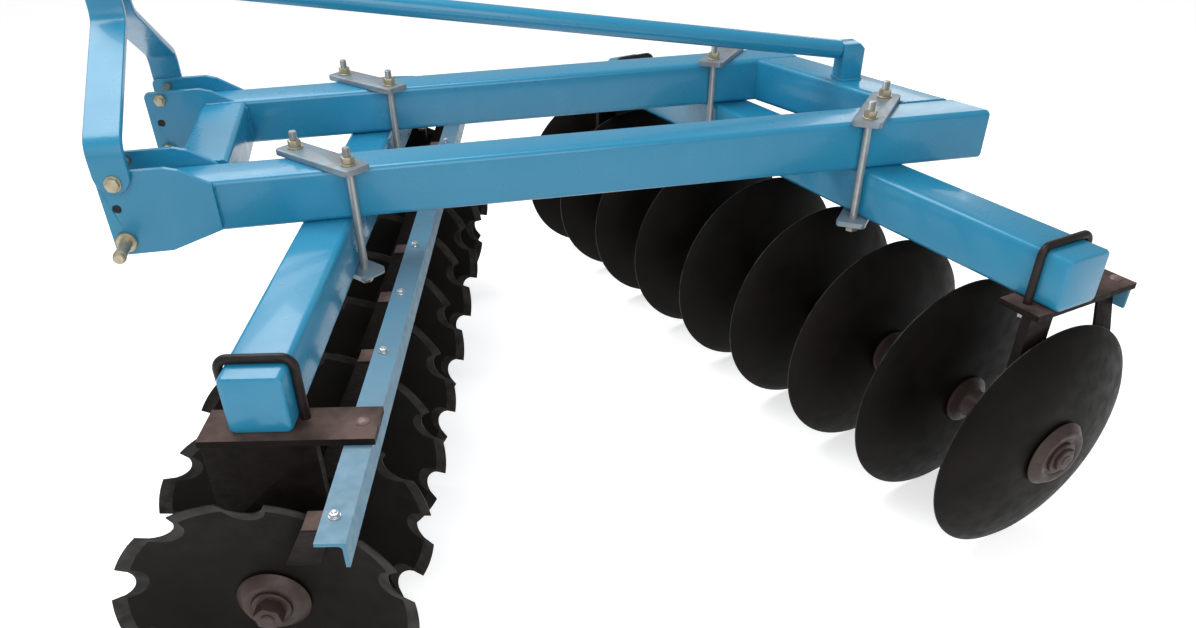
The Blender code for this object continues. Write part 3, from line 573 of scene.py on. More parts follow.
# ---------------------------------------------------------------- frame
@dataclass
class TubeFrame:
    """The two main beams and two cross beams of square tube, with their welds and end plates."""
    datum: Datum
    tube: float = 0.1016
    corner: float = 0.011
    width: float = 0.6241
    skew: float = math.radians(22.3)
    plate: float = 0.012
    lip: float = 0.003

    def build(self) -> None:
        """Build the four beams and the welds between them."""
        self.build_main_beam("left_main_beam", 0.0)
        self.build_main_beam("right_main_beam", -self.width + self.tube)
        self.build_front_cross_beam()
        self.build_rear_cross_beam()
        self.build_welds()

    def section(self, shrink: float = 0.0) -> list[tuple[float, float]]:
        """Outline the tube's cross-section, smaller by `shrink` all round."""
        side = self.tube - 2 * shrink
        return rounded_rectangle(side, side, self.corner - shrink / 2, 6)

    def stretch(self, name: str, stations: list[tuple[float, float, float]], middle: tuple[float, float],
                place: Matrix) -> None:
        """Build a beam from cross-sections along local X.

        Args:
            name: The CAD node that it replaces.
            stations: Rows of place along X, slope of X against Y, and how much the section is shrunk.
            middle: Y and Z of the beam's middle line.
            place: Where the beam's axes lie.
        """
        forge = Forge(place)
        made = bmesh.new()
        rings = [[made.verts.new((x + slope * y, middle[0] + y, middle[1] + z)) for y, z in self.section(shrink)]
                 for x, slope, shrink in stations]
        count = len(rings[0])
        for here, there in zip(rings, rings[1:]):
            for k in range(count):
                made.faces.new((here[k], here[(k + 1) % count], there[(k + 1) % count], there[k]))
        made.faces.new(rings[0])
        made.faces.new(rings[-1])
        forge.take(made)
        forge.piece(f"{name}_tube", BLUE_PAINT, "root", (name,))

    def build_main_beam(self, name: str, outer: float) -> None:
        """Build a main beam, its rear end cut along the slanting rear face."""
        slope = -math.tan(self.skew)
        middle = outer - self.tube / 2
        rear = middle * slope
        front = self.datum.beam_front
        lip = self.lip
        stations = [(rear + 0.0002, slope, lip), (rear + lip * 0.4, slope, lip * 0.4), (rear + lip, slope, 0.0),
                    (front - 0.001, 0.0, 0.0), (front, 0.0, 0.001)]
        self.stretch(name, stations, (middle, self.datum.frame_top - self.tube / 2), self.datum.matrix())

    def build_front_cross_beam(self) -> None:
        """Build the square cross beam between the inner hitch plates."""
        low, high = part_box("front_cross_beam")
        length = high.y - low.y
        turn = Matrix.Rotation(math.pi / 2, 4, "Z")
        place = Matrix.Translation(((low.x + high.x) / 2, (low.y + high.y) / 2, (low.z + high.z) / 2)) @ turn
        self.stretch("front_cross_beam", [(-length / 2, 0.0, 0.0), (length / 2, 0.0, 0.0)], (0.0, 0.0), place)

    def build_rear_cross_beam(self) -> None:
        """Build the slanting rear cross beam, both ends cut along the main beams."""
        low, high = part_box("rear_cross_beam")
        middle_y = (low.y + high.y) / 2 - self.datum.origin.y
        reach = (high.y - low.y) / 2 / math.cos(self.skew)
        front_face = self.tube / 2 / math.cos(self.skew)
        middle = self.datum.at(-middle_y * math.tan(self.skew) + front_face, middle_y,
                               self.datum.frame_top - self.tube / 2)
        place = Matrix.Translation(middle) @ Matrix.Rotation(math.pi / 2 + self.skew, 4, "Z")
        slope = math.tan(self.skew)
        self.stretch("rear_cross_beam", [(-reach, slope, 0.0), (reach, slope, 0.0)], (0.0, 0.0), place)

    def build_welds(self) -> None:
        """Lay beads where the cross beams meet the main beams, and round the end plates."""
        forge = Forge(self.datum.matrix())
        top, tube, front = self.datum.frame_top, self.tube, self.datum.beam_front
        slope = -math.tan(self.skew)
        run = tube / math.cos(self.skew)
        for face in (-tube, -self.width + tube):
            rear = face * slope
            for x in (rear + self.corner, rear + run - self.corner):
                forge.weld((x, face, top - tube + self.corner), (x, face, top - self.corner))
            for z in (top - 0.0015, top - tube + 0.0015):
                forge.weld((rear + self.corner, face, z), (rear + run - self.corner, face, z), 0.003)
        inner = self.plate + 0.0006
        for face in (-tube - inner, -self.width + tube + inner):
            for x in (front - tube, front):
                forge.weld((x, face, top - tube + self.corner), (x, face, top - self.corner))
            for z in (top, top - tube):
                forge.weld((front - tube + self.corner, face, z), (front - self.corner, face, z), 0.003)
        forge.piece("frame_welds", BLUE_PAINT)


@dataclass
class Hitch:
    """The hitch plates, pins, mast legs and the stay that runs back from them."""
    datum: Datum
    tube: float = 0.1016
    width: float = 0.6241
    plate: float = 0.012
    gap: float = 0.0003
    leg_x: float = 1.759
    leg_width: float = 0.066
    leg_thickness: float = 0.014
    lower_bend: float = 0.842
    upper_bend: float = 0.993
    leg_top: float = 1.150
    foot_z: float = 0.790
    foot_bolt_z: float = 0.777
    mast_gap: float = 0.056
    bend_radius: float = 0.026
    pin_x: float = 1.770
    pin_z: float = 0.660
    stay_radius: float = 0.020
    spare_hole: tuple[float, float] = (1.770, 0.724)
    # Radius of the dark discs that stand as painted shade inside the spare holes.
    shade_disc_radius: float = 0.0082

    def build(self) -> None:
        """Build the mast legs, pins and bolts, stay and plate welds."""
        for side, outer, out in (("left", 0.0, 1), ("right", -self.width, -1)):
            self.build_leg(side, outer, out)
            self.build_lower_pin(side, outer, out)
            self.build_foot_bolt(side, outer, out)
        self.build_hole_shade_discs()
        self.build_mast_pins()
        self.build_stay()
        self.build_welds()

    def leg_path(self, outer: float, out: int) -> list[Point]:
        """List the points of a leg's middle line, round at its two bends.

        Args:
            outer: Y of the main beam's outer face.
            out: +1 on the left side and -1 on the right.

        Returns:
            Points in the harrow's own axes, from the foot up.
        """
        foot = outer + out * (2 * self.gap + self.plate + self.leg_thickness / 2)
        top = -self.width / 2 + out * (self.mast_gap / 2 + self.leg_thickness / 2)
        low = Vector((foot, self.lower_bend + self.leg_thickness * 0.3))
        high = Vector((top, self.upper_bend + self.leg_thickness * 0.3))
        bottom = Vector((foot, self.foot_z - self.leg_width / 2))
        crown = Vector((top, self.leg_top))
        points = [bottom + Vector((0, rise)) for rise in self.end_steps()]
        for before, bend, after in ((bottom, low, high), (low, high, crown)):
            inward = (before - bend).normalized()
            onward = (after - bend).normalized()
            for i in range(7):
                share = i / 6
                start, end = bend + inward * self.bend_radius, bend + onward * self.bend_radius
                points.append((1 - share) ** 2 * start + 2 * share * (1 - share) * bend + share ** 2 * end)
        points += [crown - Vector((0, rise)) for rise in self.end_steps()[::-1]]
        return [(self.leg_x, y, z) for y, z in points]

    def end_steps(self) -> list[float]:
        """List distances from a leg's end at which its round end is drawn."""
        radius = self.leg_width / 2
        return [radius * (1 - math.cos(math.radians(angle))) for angle in (12, 25, 40, 55, 70, 90)]

    def build_leg(self, side: str, outer: float, out: int) -> None:
        """Build a mast leg: a flat bar with round ends and two soft bends."""
        path = self.leg_path(outer, out)
        radius = self.leg_width / 2
        ends = self.end_steps()
        halves = [math.sqrt(radius ** 2 - (radius - step) ** 2) for step in ends]
        halves = halves + [radius] * (len(path) - 2 * len(ends)) + halves[::-1]
        edge = 0.0018
        thick = self.leg_thickness / 2
        sections = [[(thick, half - edge), (thick - edge, half), (-thick + edge, half), (-thick, half - edge),
                     (-thick, -half + edge), (-thick + edge, -half), (thick - edge, -half), (thick, -half + edge)]
                    for half in halves]
        forge = Forge(self.datum.matrix())
        forge.swept(path, sections, (1, 0, 0))
        forge.piece(f"{side}_mast_bar", BLUE_PAINT, "root", (f"{side}_mast_leg",))

    def build_lower_pin(self, side: str, outer: float, out: int) -> None:
        """Build a lower hitch pin: collar, pin with a cross hole's boss at its tip, and inner nut."""
        forge = Forge(self.datum.matrix())
        face = outer + out * (self.gap + self.plate)
        tip = outer + out * 0.095
        inner = outer - out * (self.tube + self.gap + self.plate)
        radius = 0.011
        direction = (0, out, 0)
        forge.rod((self.pin_x, inner - out * 0.024, self.pin_z), (self.pin_x, tip, self.pin_z), radius, 32, 0.0025)
        forge.turned((self.pin_x, face + out * self.gap, self.pin_z), direction,
                     [(0.0175, 0.0), (0.0192, 0.0015), (0.0192, 0.0085), (0.0175, 0.010)], 40)
        forge.turned((self.pin_x, tip - out * 0.016, self.pin_z), direction,
                     [(radius, 0.0), (radius + 0.0012, 0.001), (radius + 0.0012, 0.006), (radius, 0.007)], 32)
        forge.hexagon((self.pin_x, inner, self.pin_z), (0, -out, 0), 0.0185, 0.016)
        forge.piece(f"{side}_lower_link_pin", BOLT, "root", (f"{side}_lower_hitch_pin",))

    def build_foot_bolt(self, side: str, outer: float, out: int) -> None:
        """Build the bolt that holds a leg's foot to its two plates."""
        forge = Forge(self.datum.matrix())
        z = self.foot_bolt_z
        outside = outer + out * (3 * self.gap + self.plate + self.leg_thickness)
        inside = outer - out * (self.tube + 2 * self.gap + self.plate)
        forge.turned((self.leg_x, outside, z), (0, out, 0),
                     [(0.0150, 0.0), (0.0155, 0.0006), (0.0155, 0.0024), (0.0150, 0.003)], 32)
        forge.hexagon((self.leg_x, outside + out * 0.003, z), (0, out, 0), 0.0135, 0.009, 0.3)
        forge.rod((self.leg_x, inside - out * 0.020, z), (self.leg_x, outside, z), 0.008)
        forge.hexagon((self.leg_x, inside, z), (0, -out, 0), 0.0135, 0.013, 0.5)
        forge.piece(f"{side}_foot_bolt", BOLT, "root", (f"{side}_mast_bolt",))

    def build_hole_shade_discs(self) -> None:
        """Set dark discs in the hitch plates' spare holes, just below the plates' faces: painted shade for the holes'
        dark insides.
        """
        forge = Forge(self.datum.matrix())
        x, z = self.spare_hole
        for outer, out in ((0.0, 1), (-self.width, -1)):
            for start in (outer + out * self.gap, outer - out * (self.tube + self.gap + self.plate)):
                forge.rod((x, start + out * 0.002, z), (x, start + out * (self.plate - 0.002), z),
                          self.shade_disc_radius, 24)
        forge.piece("spare_hole_painted_shade", ROD_BLACK)

    def build_mast_pins(self) -> None:
        """Build the top link pin and the bolt that holds the stay."""
        middle = -self.width / 2
        reach = self.mast_gap / 2 + self.leg_thickness + self.gap
        low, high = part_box("top_link_pin")
        z = (low.z + high.z) / 2 - self.datum.origin.z
        forge = Forge(self.datum.matrix())
        forge.rod((self.leg_x, middle - reach - 0.030, z), (self.leg_x, middle + reach + 0.006, z), 0.011, 32, 0.002)
        forge.turned((self.leg_x, middle + reach, z), (0, 1, 0),
                     [(0.0165, 0.0), (0.0176, 0.0012), (0.0176, 0.0108), (0.0165, 0.012)], 32)
        forge.piece("top_pin", BOLT, "root", ("top_link_pin",))
        low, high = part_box("stay_bolt")
        z = (low.z + high.z) / 2 - self.datum.origin.z
        forge = Forge(self.datum.matrix())
        forge.rod((self.leg_x, middle - reach - 0.020, z), (self.leg_x, middle + reach + 0.004, z), 0.008)
        for sign in (1, -1):
            forge.hexagon((self.leg_x, middle + sign * reach, z), (0, sign, 0), 0.0135, 0.013, 0.4)
        forge.piece("stay_cross_bolt", BOLT, "root", ("stay_bolt",))

    def build_stay(self) -> None:
        """Build the round stay with its front eye, and the post that it ends on."""
        middle = -self.width / 2
        low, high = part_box("stay_pipe")
        rear = low - self.datum.origin
        low_bolt, high_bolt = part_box("stay_bolt")
        eye_z = (low_bolt.z + high_bolt.z) / 2 - self.datum.origin.z
        slope = (eye_z - 0.822) / (self.leg_x - rear.x)
        start = Vector((rear.x, middle, 0.822))
        end = Vector((self.leg_x - self.leg_width / 2 - 0.010, middle, 0.0))
        end.z = start.z + slope * (end.x - start.x)
        forge = Forge(self.datum.matrix())
        forge.rod(tuple(start), tuple(end), self.stay_radius, 48, 0.002)
        forge.plate([(end.x - 0.05, eye_z - 0.026), (self.leg_x, eye_z - 0.018),
                     *arc((self.leg_x, eye_z), 0.018, -60, 90), (end.x - 0.05, eye_z + 0.010)],
                    middle - 0.006, middle + 0.006, Along.Y)
        forge.rod((self.leg_x, middle - self.mast_gap / 2 + self.gap, eye_z),
                  (self.leg_x, middle + self.mast_gap / 2 - self.gap, eye_z), 0.017, 32)
        forge.piece("stay_tube", BLUE_PAINT, "root", ("stay_pipe",))
        low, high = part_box("stay_post")
        forge = Forge(Matrix())
        forge.plate([(low.x, low.z), (high.x, low.z), (high.x, high.z), (low.x + 0.012, high.z),
                     (low.x, high.z - 0.012)], low.y, high.y, Along.Y, 0.003)
        for y in (low.y, high.y):
            forge.weld((low.x, y, low.z + 0.001), (high.x, y, low.z + 0.001), 0.003)
        for x in (low.x, high.x):
            forge.weld((x, low.y, low.z + 0.001), (x, high.y, low.z + 0.001), 0.003)
        forge.piece("stay_stand", BLUE_PAINT, "root", ("stay_post",))

    def build_welds(self) -> None:
        """Lay beads along the hitch plates' rear and lower edges."""
        forge = Forge(self.datum.matrix())
        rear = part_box("left_outer_hitch_plate")[0].x - self.datum.origin.x
        top, bottom = self.datum.frame_top, self.datum.frame_top - self.tube
        for outer, out in ((0.0, 1), (-self.width, -1)):
            for face in (outer, outer - out * self.tube):
                forge.weld((rear, face, bottom + 0.016), (rear, face, top - 0.008), 0.0035)
        forge.piece("hitch_welds", BLUE_PAINT)


# ---------------------------------------------------------------- gangs
@dataclass
class Gang:
    """One gang: beam, U-bolts, hangers, scrapers, axle and blades."""
    axes: GangAxes
    first_rim: float
    dish: int
    ends: tuple[float, float]
    washer: float
    nut: float
    notched: bool
    quarter_turned: tuple[int, ...]
    bar: tuple[float, float, float]
    scraper: tuple[float, float]
    lean: tuple[float, float]
    arm_bolt: float
    count: int = 9
    pitch: float = 0.2223
    tube: float = 0.1016
    top: float = 0.7575 - 0.1016 - 0.0003
    blade_radius: float = 0.250
    blade_depth: float = 0.050
    blade_thickness: float = 0.005
    flat_radius: float = 0.055
    bore: float = 0.0185
    axle_radius: float = 0.018
    spool_radius: float = 0.030
    flare_radius: float = 0.052
    notch_radius: float = 0.037
    notch_centre: float = 0.254
    notches: int = 10
    notch_phase: float = math.radians(20)

    def build(self) -> None:
        """Build the gang, from the beam down to the blades."""
        self.build_beam()
        for side in ("left", "right"):
            self.build_u_bolt(side)
        self.build_angle_bar()
        self.build_scrapers()
        self.build_arm_bolts()
        self.build_axle()
        for number in range(1, self.count + 1):
            self.build_blade(number)

    @property
    def name(self) -> str:
        """Name the gang."""
        return self.axes.name

    @property
    def bottom(self) -> float:
        """Give the height of the gang beam's underside."""
        return self.top - self.tube

    def rims(self) -> list[float]:
        """List the blades' rim planes along the gang, from the left."""
        return [self.first_rim - i * self.pitch for i in range(self.count)]

    def local_box(self, node: str) -> tuple[Vector, Vector]:
        """Measure a CAD node in the gang's own axes.

        Args:
            node: The node's name.

        Returns:
            Its lowest and highest corners.
        """
        back = self.axes.place.inverted()
        corners = [back @ vertex.co for vertex in frame["nodes"][node].data.vertices]
        low = Vector([min(corner[axis] for corner in corners) for axis in range(3)])
        return low, Vector([max(corner[axis] for corner in corners) for axis in range(3)])

    def build_beam(self) -> None:
        """Build the gang beam: a square tube closed by plates with sloping edges."""
        forge = Forge(self.axes.place)
        left, right = self.ends
        made = bmesh.new()
        slope = 0.006
        stations = [(right, slope), (right + slope * 0.3, slope * 0.3), (right + slope, 0.0), (left - slope, 0.0),
                    (left - slope * 0.3, slope * 0.3), (left, slope)]
        rings = []
        for t, shrink in stations:
            side = self.tube - 2 * shrink
            outline = rounded_rectangle(side, side, 0.011 - shrink * 0.4, 6)
            rings.append([made.verts.new((t, y, self.top - self.tube / 2 + z)) for y, z in outline])
        count = len(rings[0])
        for here, there in zip(rings, rings[1:]):
            for k in range(count):
                made.faces.new((here[k], here[(k + 1) % count], there[(k + 1) % count], there[k]))
        made.faces.new(rings[0])
        made.faces.new(rings[-1])
        forge.take(made)
        forge.piece(f"{self.name}_beam_tube", BLUE_PAINT, "root", (f"{self.name}_gang_beam",))

    def build_u_bolt(self, side: str) -> None:
        """Build a U-bolt over the gang beam with its two nuts and stud ends."""
        node = f"{self.name}_{side}_u_bolt"
        low, high = self.local_box(node)
        t = (low.x + high.x) / 2
        radius = 0.008
        leg = self.tube / 2 + 0.0003 + radius
        crown = self.top + 0.0003 + radius
        bend = 0.018
        half = [(leg, low.z), (leg, low.z + 0.03), *arc((leg - bend, crown - bend), bend, 0, 90, 8)]
        path = [(t, y, z) for y, z in half] + [(t, -y, z) for y, z in half[::-1]]
        circle = [(radius * math.cos(2 * math.pi * k / 16), radius * math.sin(2 * math.pi * k / 16)) for k in range(16)]
        forge = Forge(self.axes.place)
        forge.swept(path, [circle] * len(path), (1, 0, 0))
        forge.piece(f"{self.name}_{side}_u_bolt_bar", ROD_BLACK, "root", (node,))
        nuts = Forge(self.axes.place)
        for y in (leg, -leg):
            nuts.turned((t, y, self.bottom - 0.0126), (0, 0, -1),
                        [(0.0142, 0.0), (0.0150, 0.0006), (0.0150, 0.0022), (0.0142, 0.0028)], 28)
            nuts.hexagon((t, y, self.bottom - 0.0154), (0, 0, -1), 0.0135, 0.0115, 0.3)
        nuts.piece(f"{self.name}_{side}_u_bolt_nuts", STUD_ZINC)

    def build_angle_bar(self) -> None:
        """Build the blue angle bar that the scrapers hang on."""
        left, rear_n, leg = self.bar
        low, high = self.local_box(f"{self.name}_scraper_bar")
        top, rear_y, thick, fillet = high.z, -rear_n, 0.006, 0.004
        outline = [(rear_y - leg, top), (rear_y, top), (rear_y, top - leg), (rear_y - thick, top - leg),
                   (rear_y - thick, top - thick - fillet), (rear_y - thick - fillet, top - thick),
                   (rear_y - leg, top - thick)]
        forge = Forge(self.axes.place)
        forge.plate(outline, low.x, left, Along.X, 0.001)
        forge.piece(f"{self.name}_angle_bar", DULL_BLUE, "root", (f"{self.name}_scraper_bar",))

    def build_scrapers(self) -> None:
        """Build the scrapers, each on a foot under the angle bar, and the bright bolts through both."""
        _, rear_n, leg = self.bar
        root_t, root_n = self.scraper
        lean_t, lean_n = self.lean
        low, high = self.local_box(f"{self.name}_scraper_bar")
        under = high.z - 0.0062
        width, tip_width, thick = 0.042, 0.058, 0.006
        front_y = -root_n - width / 2
        scrapers = Forge(self.axes.place)
        bolts = Forge(self.axes.place)
        for rim in self.rims():
            middle = rim + root_t
            scrapers.box((middle - width / 2, front_y, under - thick), (middle + width / 2, -rear_n - 0.018, under))
            blade = scrapers.box((middle - thick / 2, front_y, low.z),
                                 (middle + thick / 2, front_y + width, under - 0.0005), 0.001)
            root_z = under - thick
            for vertex in blade:
                share = max(0.0, (root_z - vertex.co.z) / (root_z - low.z))
                widening = 1 + share * (tip_width / width - 1)
                vertex.co.y = -root_n + (vertex.co.y + root_n) * widening - share * lean_n
                vertex.co.x += share * lean_t
            scrapers.weld((middle + thick / 2, front_y + 0.002, root_z), (middle + thick / 2, front_y + width, root_z), 0.003)
            bolt_y = -rear_n - leg * 0.58
            bolts.turned((middle, bolt_y, high.z), (0, 0, 1), [(0.0088, 0.0), (0.0092, 0.0006), (0.0088, 0.0018)], 24)
            bolts.hexagon((middle, bolt_y, high.z + 0.0018), (0, 0, 1), 0.0076, 0.006, rim * 5)
            bolts.rod((middle, bolt_y, under - 0.018), (middle, bolt_y, high.z + 0.010), 0.004)
            bolts.hexagon((middle, bolt_y, under - thick), (0, 0, -1), 0.0095, 0.008, rim * 3)
        scrapers.piece(f"{self.name}_scrapers", BRACKET_BROWN)
        bolts.piece(f"{self.name}_scraper_bolts", WHITE_ZINC)

    def build_arm_bolts(self) -> None:
        """Build the round-headed bolts that hold the angle bar under the hangers' arms."""
        _, high = self.local_box(f"{self.name}_scraper_bar")
        forge = Forge(self.axes.place)
        for side in ("left", "right"):
            low, high_base = self.local_box(f"{self.name}_{side}_hanger")
            t = self.local_box(f"{self.name}_{side}_u_bolt")
            t = (t[0].x + t[1].x) / 2 + (0.015 if side == "left" else -0.015)
            forge.turned((t, -self.arm_bolt, high_base.z), (0, 0, 1),
                         [(0.0115, 0.0), (0.0113, 0.0012), (0.0090, 0.0034), (0.0050, 0.0048)], 28)
            forge.rod((t, -self.arm_bolt, high.z - 0.024), (t, -self.arm_bolt, high_base.z), 0.006)
            forge.hexagon((t, -self.arm_bolt, high.z - 0.0062), (0, 0, -1), 0.0110, 0.010, 0.5)
        forge.piece(f"{self.name}_arm_bolts", ARM_BOLT)

    def axle_lathe(self) -> list[tuple[float, float]]:
        """List the turned profile of axle and spools as radius and place along the gang.

        Returns:
            The profile, from the right end to the left.
        """
        half = self.blade_thickness / 2 + 0.0003
        seats = [rim - self.dish * (self.blade_depth + self.blade_thickness / 2) for rim in self.rims()]
        profile: list[tuple[float, float]] = []
        flare = 0.022
        for seat, following in zip(seats, seats[1:]):
            start, stop = seat - half, following + half
            profile += [(self.axle_radius, start), (self.flare_radius - 0.0015, start), (self.flare_radius, start - 0.002),
                        (self.flare_radius, start - 0.006), (self.flare_radius - 0.002, start - 0.008)]
            profile += [(self.spool_radius + 0.018 * (1 - math.sin(math.radians(a))), start - 0.009 - 0.013 * a / 90)
                        for a in (0, 30, 60, 90)]
            profile += [(self.spool_radius + 0.018 * (1 - math.sin(math.radians(a))), stop + 0.009 + 0.013 * a / 90)
                        for a in (90, 60, 30, 0)]
            profile += [(self.flare_radius - 0.002, stop + 0.008), (self.flare_radius, stop + 0.006),
                        (self.flare_radius, stop + 0.002), (self.flare_radius - 0.0015, stop), (self.axle_radius, stop)]
        left, right = seats[0] + half, seats[-1] - half
        face = 0.022
        lip = self.washer
        # radius and distance outwards from the end blade
        end = ((lip - 0.030, face - 0.004), (lip - 0.026, face - 0.001), (lip - 0.018, face), (lip - 0.014, face - 0.001),
               (lip, 0.006), (lip - 0.0008, 0.004), (self.flare_radius, 0.0), (self.axle_radius, 0.0))
        return ([(radius, left + out) for radius, out in end] + profile
                + [(radius, right - out) for radius, out in end[::-1]])

    def build_axle(self) -> None:
        """Build axle, spools, end washers and end nuts."""
        low, high = self.local_box(f"{self.name}_gang_axle")
        line_y = (low.y + high.y) / 2
        line_z = (low.z + high.z) / 2
        profile = self.axle_lathe()[::-1]
        start = profile[0][1]
        forge = Forge(self.axes.place)
        forge.turned((start, line_y, line_z), (1, 0, 0), [(radius, t - start) for radius, t in profile], 48)
        for t, sign in ((profile[-1][1], 1), (profile[0][1], -1)):
            forge.turned((t - sign * 0.002, line_y, line_z), (sign, 0, 0),
                         [(0.031, 0.0), (0.033, 0.003), (0.033, 0.007), (0.030, 0.009)], 40)
            forge.hexagon((t + sign * 0.006, line_y, line_z), (sign, 0, 0), 0.025, max(self.nut - 0.006, 0.008), 0.2)
            reach = (high.x if sign > 0 else low.x)
            forge.rod((t, line_y, line_z), (reach, line_y, line_z), 0.012, 24, 0.002)
        forge.piece(f"{self.name}_axle_spools", HUB_BROWN, self.axes.body, (f"{self.name}_gang_axle",))

    def edge_angles(self, phase: float) -> list[tuple[float, float]]:
        """List the blade's outline as angle and outer radius.

        Args:
            phase: Where the first notch lies, counted from forwards, upwards.

        Returns:
            Rows of angle and outer radius.
        """
        if not self.notched:
            return [(2 * math.pi * i / 128, self.blade_radius) for i in range(128)]
        reach = self.notch_centre
        half = math.acos((self.blade_radius ** 2 + reach ** 2 - self.notch_radius ** 2) / (2 * self.blade_radius * reach))
        period = 2 * math.pi / self.notches
        rows = []
        for i in range(self.notches):
            middle = phase + i * period
            for k in range(13):
                angle = -half + 2 * half * k / 12
                square = self.notch_radius ** 2 - (reach * math.sin(angle)) ** 2
                rows.append((middle + angle, reach * math.cos(angle) - math.sqrt(max(square, 0.0))))
            rows += [(middle + half + (period - 2 * half) * k / 7, self.blade_radius) for k in range(1, 7)]
        return rows

    def dish_height(self, radius: float) -> float:
        """Give how far the hollow side lies behind the rim plane at a radius."""
        span = self.blade_radius - self.flat_radius
        sphere = (span ** 2 + self.blade_depth ** 2) / (2 * self.blade_depth)
        reach = max(radius - self.flat_radius, 0.0)
        return sphere - math.sqrt(sphere ** 2 - reach ** 2) - self.blade_depth

    def build_blade(self, number: int) -> None:
        """Build a dished blade with a ground edge, notched or plain."""
        low, high = self.local_box(f"{self.name}_gang_axle")
        line_y = (low.y + high.y) / 2
        line_z = (low.z + high.z) / 2
        rim = self.rims()[number - 1]
        phase = self.notch_phase + (math.pi / 2 if number in self.quarter_turned else 0.0)
        rows = self.edge_angles(phase)
        shares = [0.0, 0.16, 0.32, 0.48, 0.64, 0.78, 0.88, 0.95]
        ground = 0.012
        made = bmesh.new()
        rings = []
        for angle, outer in rows:
            toward = Vector((0.0, -math.cos(angle), math.sin(angle)))
            section = [(self.bore, self.dish_height(self.bore))]
            section += [(self.flat_radius + (outer - ground - self.flat_radius) * share, None) for share in shares]
            section += [(outer - ground * 0.5, None), (outer - 0.0008, None)]
            hollow = [(radius, self.dish_height(radius)) for radius, _ in section]
            crown = [(radius, height - self.blade_thickness) for radius, height in hollow[:-2]]
            crown += [(outer - ground, self.dish_height(outer - ground) - self.blade_thickness),
                      (outer - 0.001, self.dish_height(outer) - self.blade_thickness * 0.62)]
            loop = hollow + [(outer, self.dish_height(outer) - 0.0008),
                             (outer, self.dish_height(outer) - self.blade_thickness * 0.5)] + crown[::-1]
            rings.append([made.verts.new(Vector((rim + self.dish * height, line_y, line_z)) + toward * radius)
                          for radius, height in loop])
        count = len(rings[0])
        for i, here in enumerate(rings):
            there = rings[(i + 1) % len(rings)]
            for k in range(count):
                j = (k + 1) % count
                made.faces.new((here[k], here[j], there[j], there[k]))
        forge = Forge(self.axes.place)
        forge.take(made)
        blade = forge.piece(f"{self.name}_blade_{number}", BLADE_BLACK, self.axes.body,
                            (f"{self.name}_disc_{number}",))
        # The ground rim faces take the lighter edge coating: wear, and partly a painted highlight along the rim.
        blade.data.materials.append(BLADE_EDGE_WEAR_AND_HIGHLIGHT.material())
        faces_a_section = count
        for face in blade.data.polygons:
            if len(shares) <= face.index % faces_a_section < len(shares) + 5:
                face.material_index = 1


# ---------------------------------------------------------------- clamps and hangers
@dataclass
class Clamp:
    """A clamp at a crossing: slanting plates above and below, two studs with nuts and washers."""
    node: str
    datum: Datum
    width: float = 0.062
    plate: float = 0.012
    stud: float = 0.008
    nut: float = 0.0135
    nut_height: float = 0.013

    def studs(self) -> tuple[Vector, Vector]:
        """Find the studs' places from the CAD clamp's narrow middle.

        Returns:
            The two places, at floor level.
        """
        points = [vertex.co for vertex in frame["nodes"][self.node].data.vertices]
        top = max(point.z for point in points)
        tips = [point for point in points if point.z > top - 0.001]
        far = max(((a, b) for a in tips for b in tips), key=lambda pair: (pair[0] - pair[1]).length)
        groups = [[point for point in tips if (point - end).length < 0.05] for end in far]
        return tuple(sum((Vector((point.x, point.y, 0)) for point in group), Vector()) / len(group) for group in groups)

    def build(self) -> None:
        """Build the plates, studs, nuts and washers."""
        low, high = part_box(self.node)
        first, second = self.studs()
        along = (first - second).normalized()
        middle = (first + second) / 2
        half = (first - second).length / 2 + 0.030
        turn = Matrix.Translation(middle) @ Matrix.Rotation(math.atan2(along.y, along.x), 4, "Z")
        top_face = self.datum.frame_top + self.datum.origin.z + 0.0003
        bottom_face = self.datum.frame_top + self.datum.origin.z - 0.2038
        outline = rounded_rectangle(2 * half, self.width, 0.010, 4)
        for part, level in (("top", top_face), ("bottom", bottom_face - self.plate)):
            forge = Forge(turn)
            forge.plate(outline, level, level + self.plate, Along.Z, 0.0015)
            forge.piece(f"{self.node}_{part}_plate", ZINC, "root", (self.node,) if part == "top" else ())
        forge = Forge(Matrix())
        nuts = Forge(Matrix())
        for i, stud in enumerate((first, second)):
            forge.rod((stud.x, stud.y, low.z + 0.001), (stud.x, stud.y, top_face + self.plate + 0.004), self.stud, 24)
            forge.threaded((stud.x, stud.y, top_face + self.plate), (stud.x, stud.y, high.z), self.stud)
            for start, way in ((top_face + self.plate, 1), (bottom_face - self.plate, -1)):
                nuts.turned((stud.x, stud.y, start), (0, 0, way),
                            [(0.0150, 0.0), (0.0156, 0.0006), (0.0156, 0.0022), (0.0150, 0.0028)], 32)
                nuts.hexagon((stud.x, stud.y, start + way * 0.0028), (0, 0, way), self.nut, self.nut_height, 0.4 + i)
        forge.piece(f"{self.node}_studs", STUD_ZINC)
        nuts.piece(f"{self.node}_nuts", BOLT)


@dataclass
class CarriedNodes:
    """CAD nodes that keep their shape: they get their coating and softly rounded edges."""
    edge: float = 0.0015

    def dress(self) -> None:
        """Give each node its coating, and a small bevel on its sharp edges."""
        slots = {part["node"]: part["material_slot"] for part in frame["record"]["subparts"]}
        for name, node in frame["nodes"].items():
            node.data.materials.clear()
            node.data.materials.append(COATINGS[slots[name]].material())
            if node.hide_render:
                continue
            weld = node.modifiers.new("Weld", "WELD")
            weld.merge_threshold = 0.00005
            bevel = node.modifiers.new("Bevel", "BEVEL")
            bevel.width = self.edge
            bevel.segments = 2
            bevel.limit_method = "ANGLE"
            bevel.angle_limit = math.radians(30)
            LOG.info("%s keeps its shape, %s", name, slots[name])


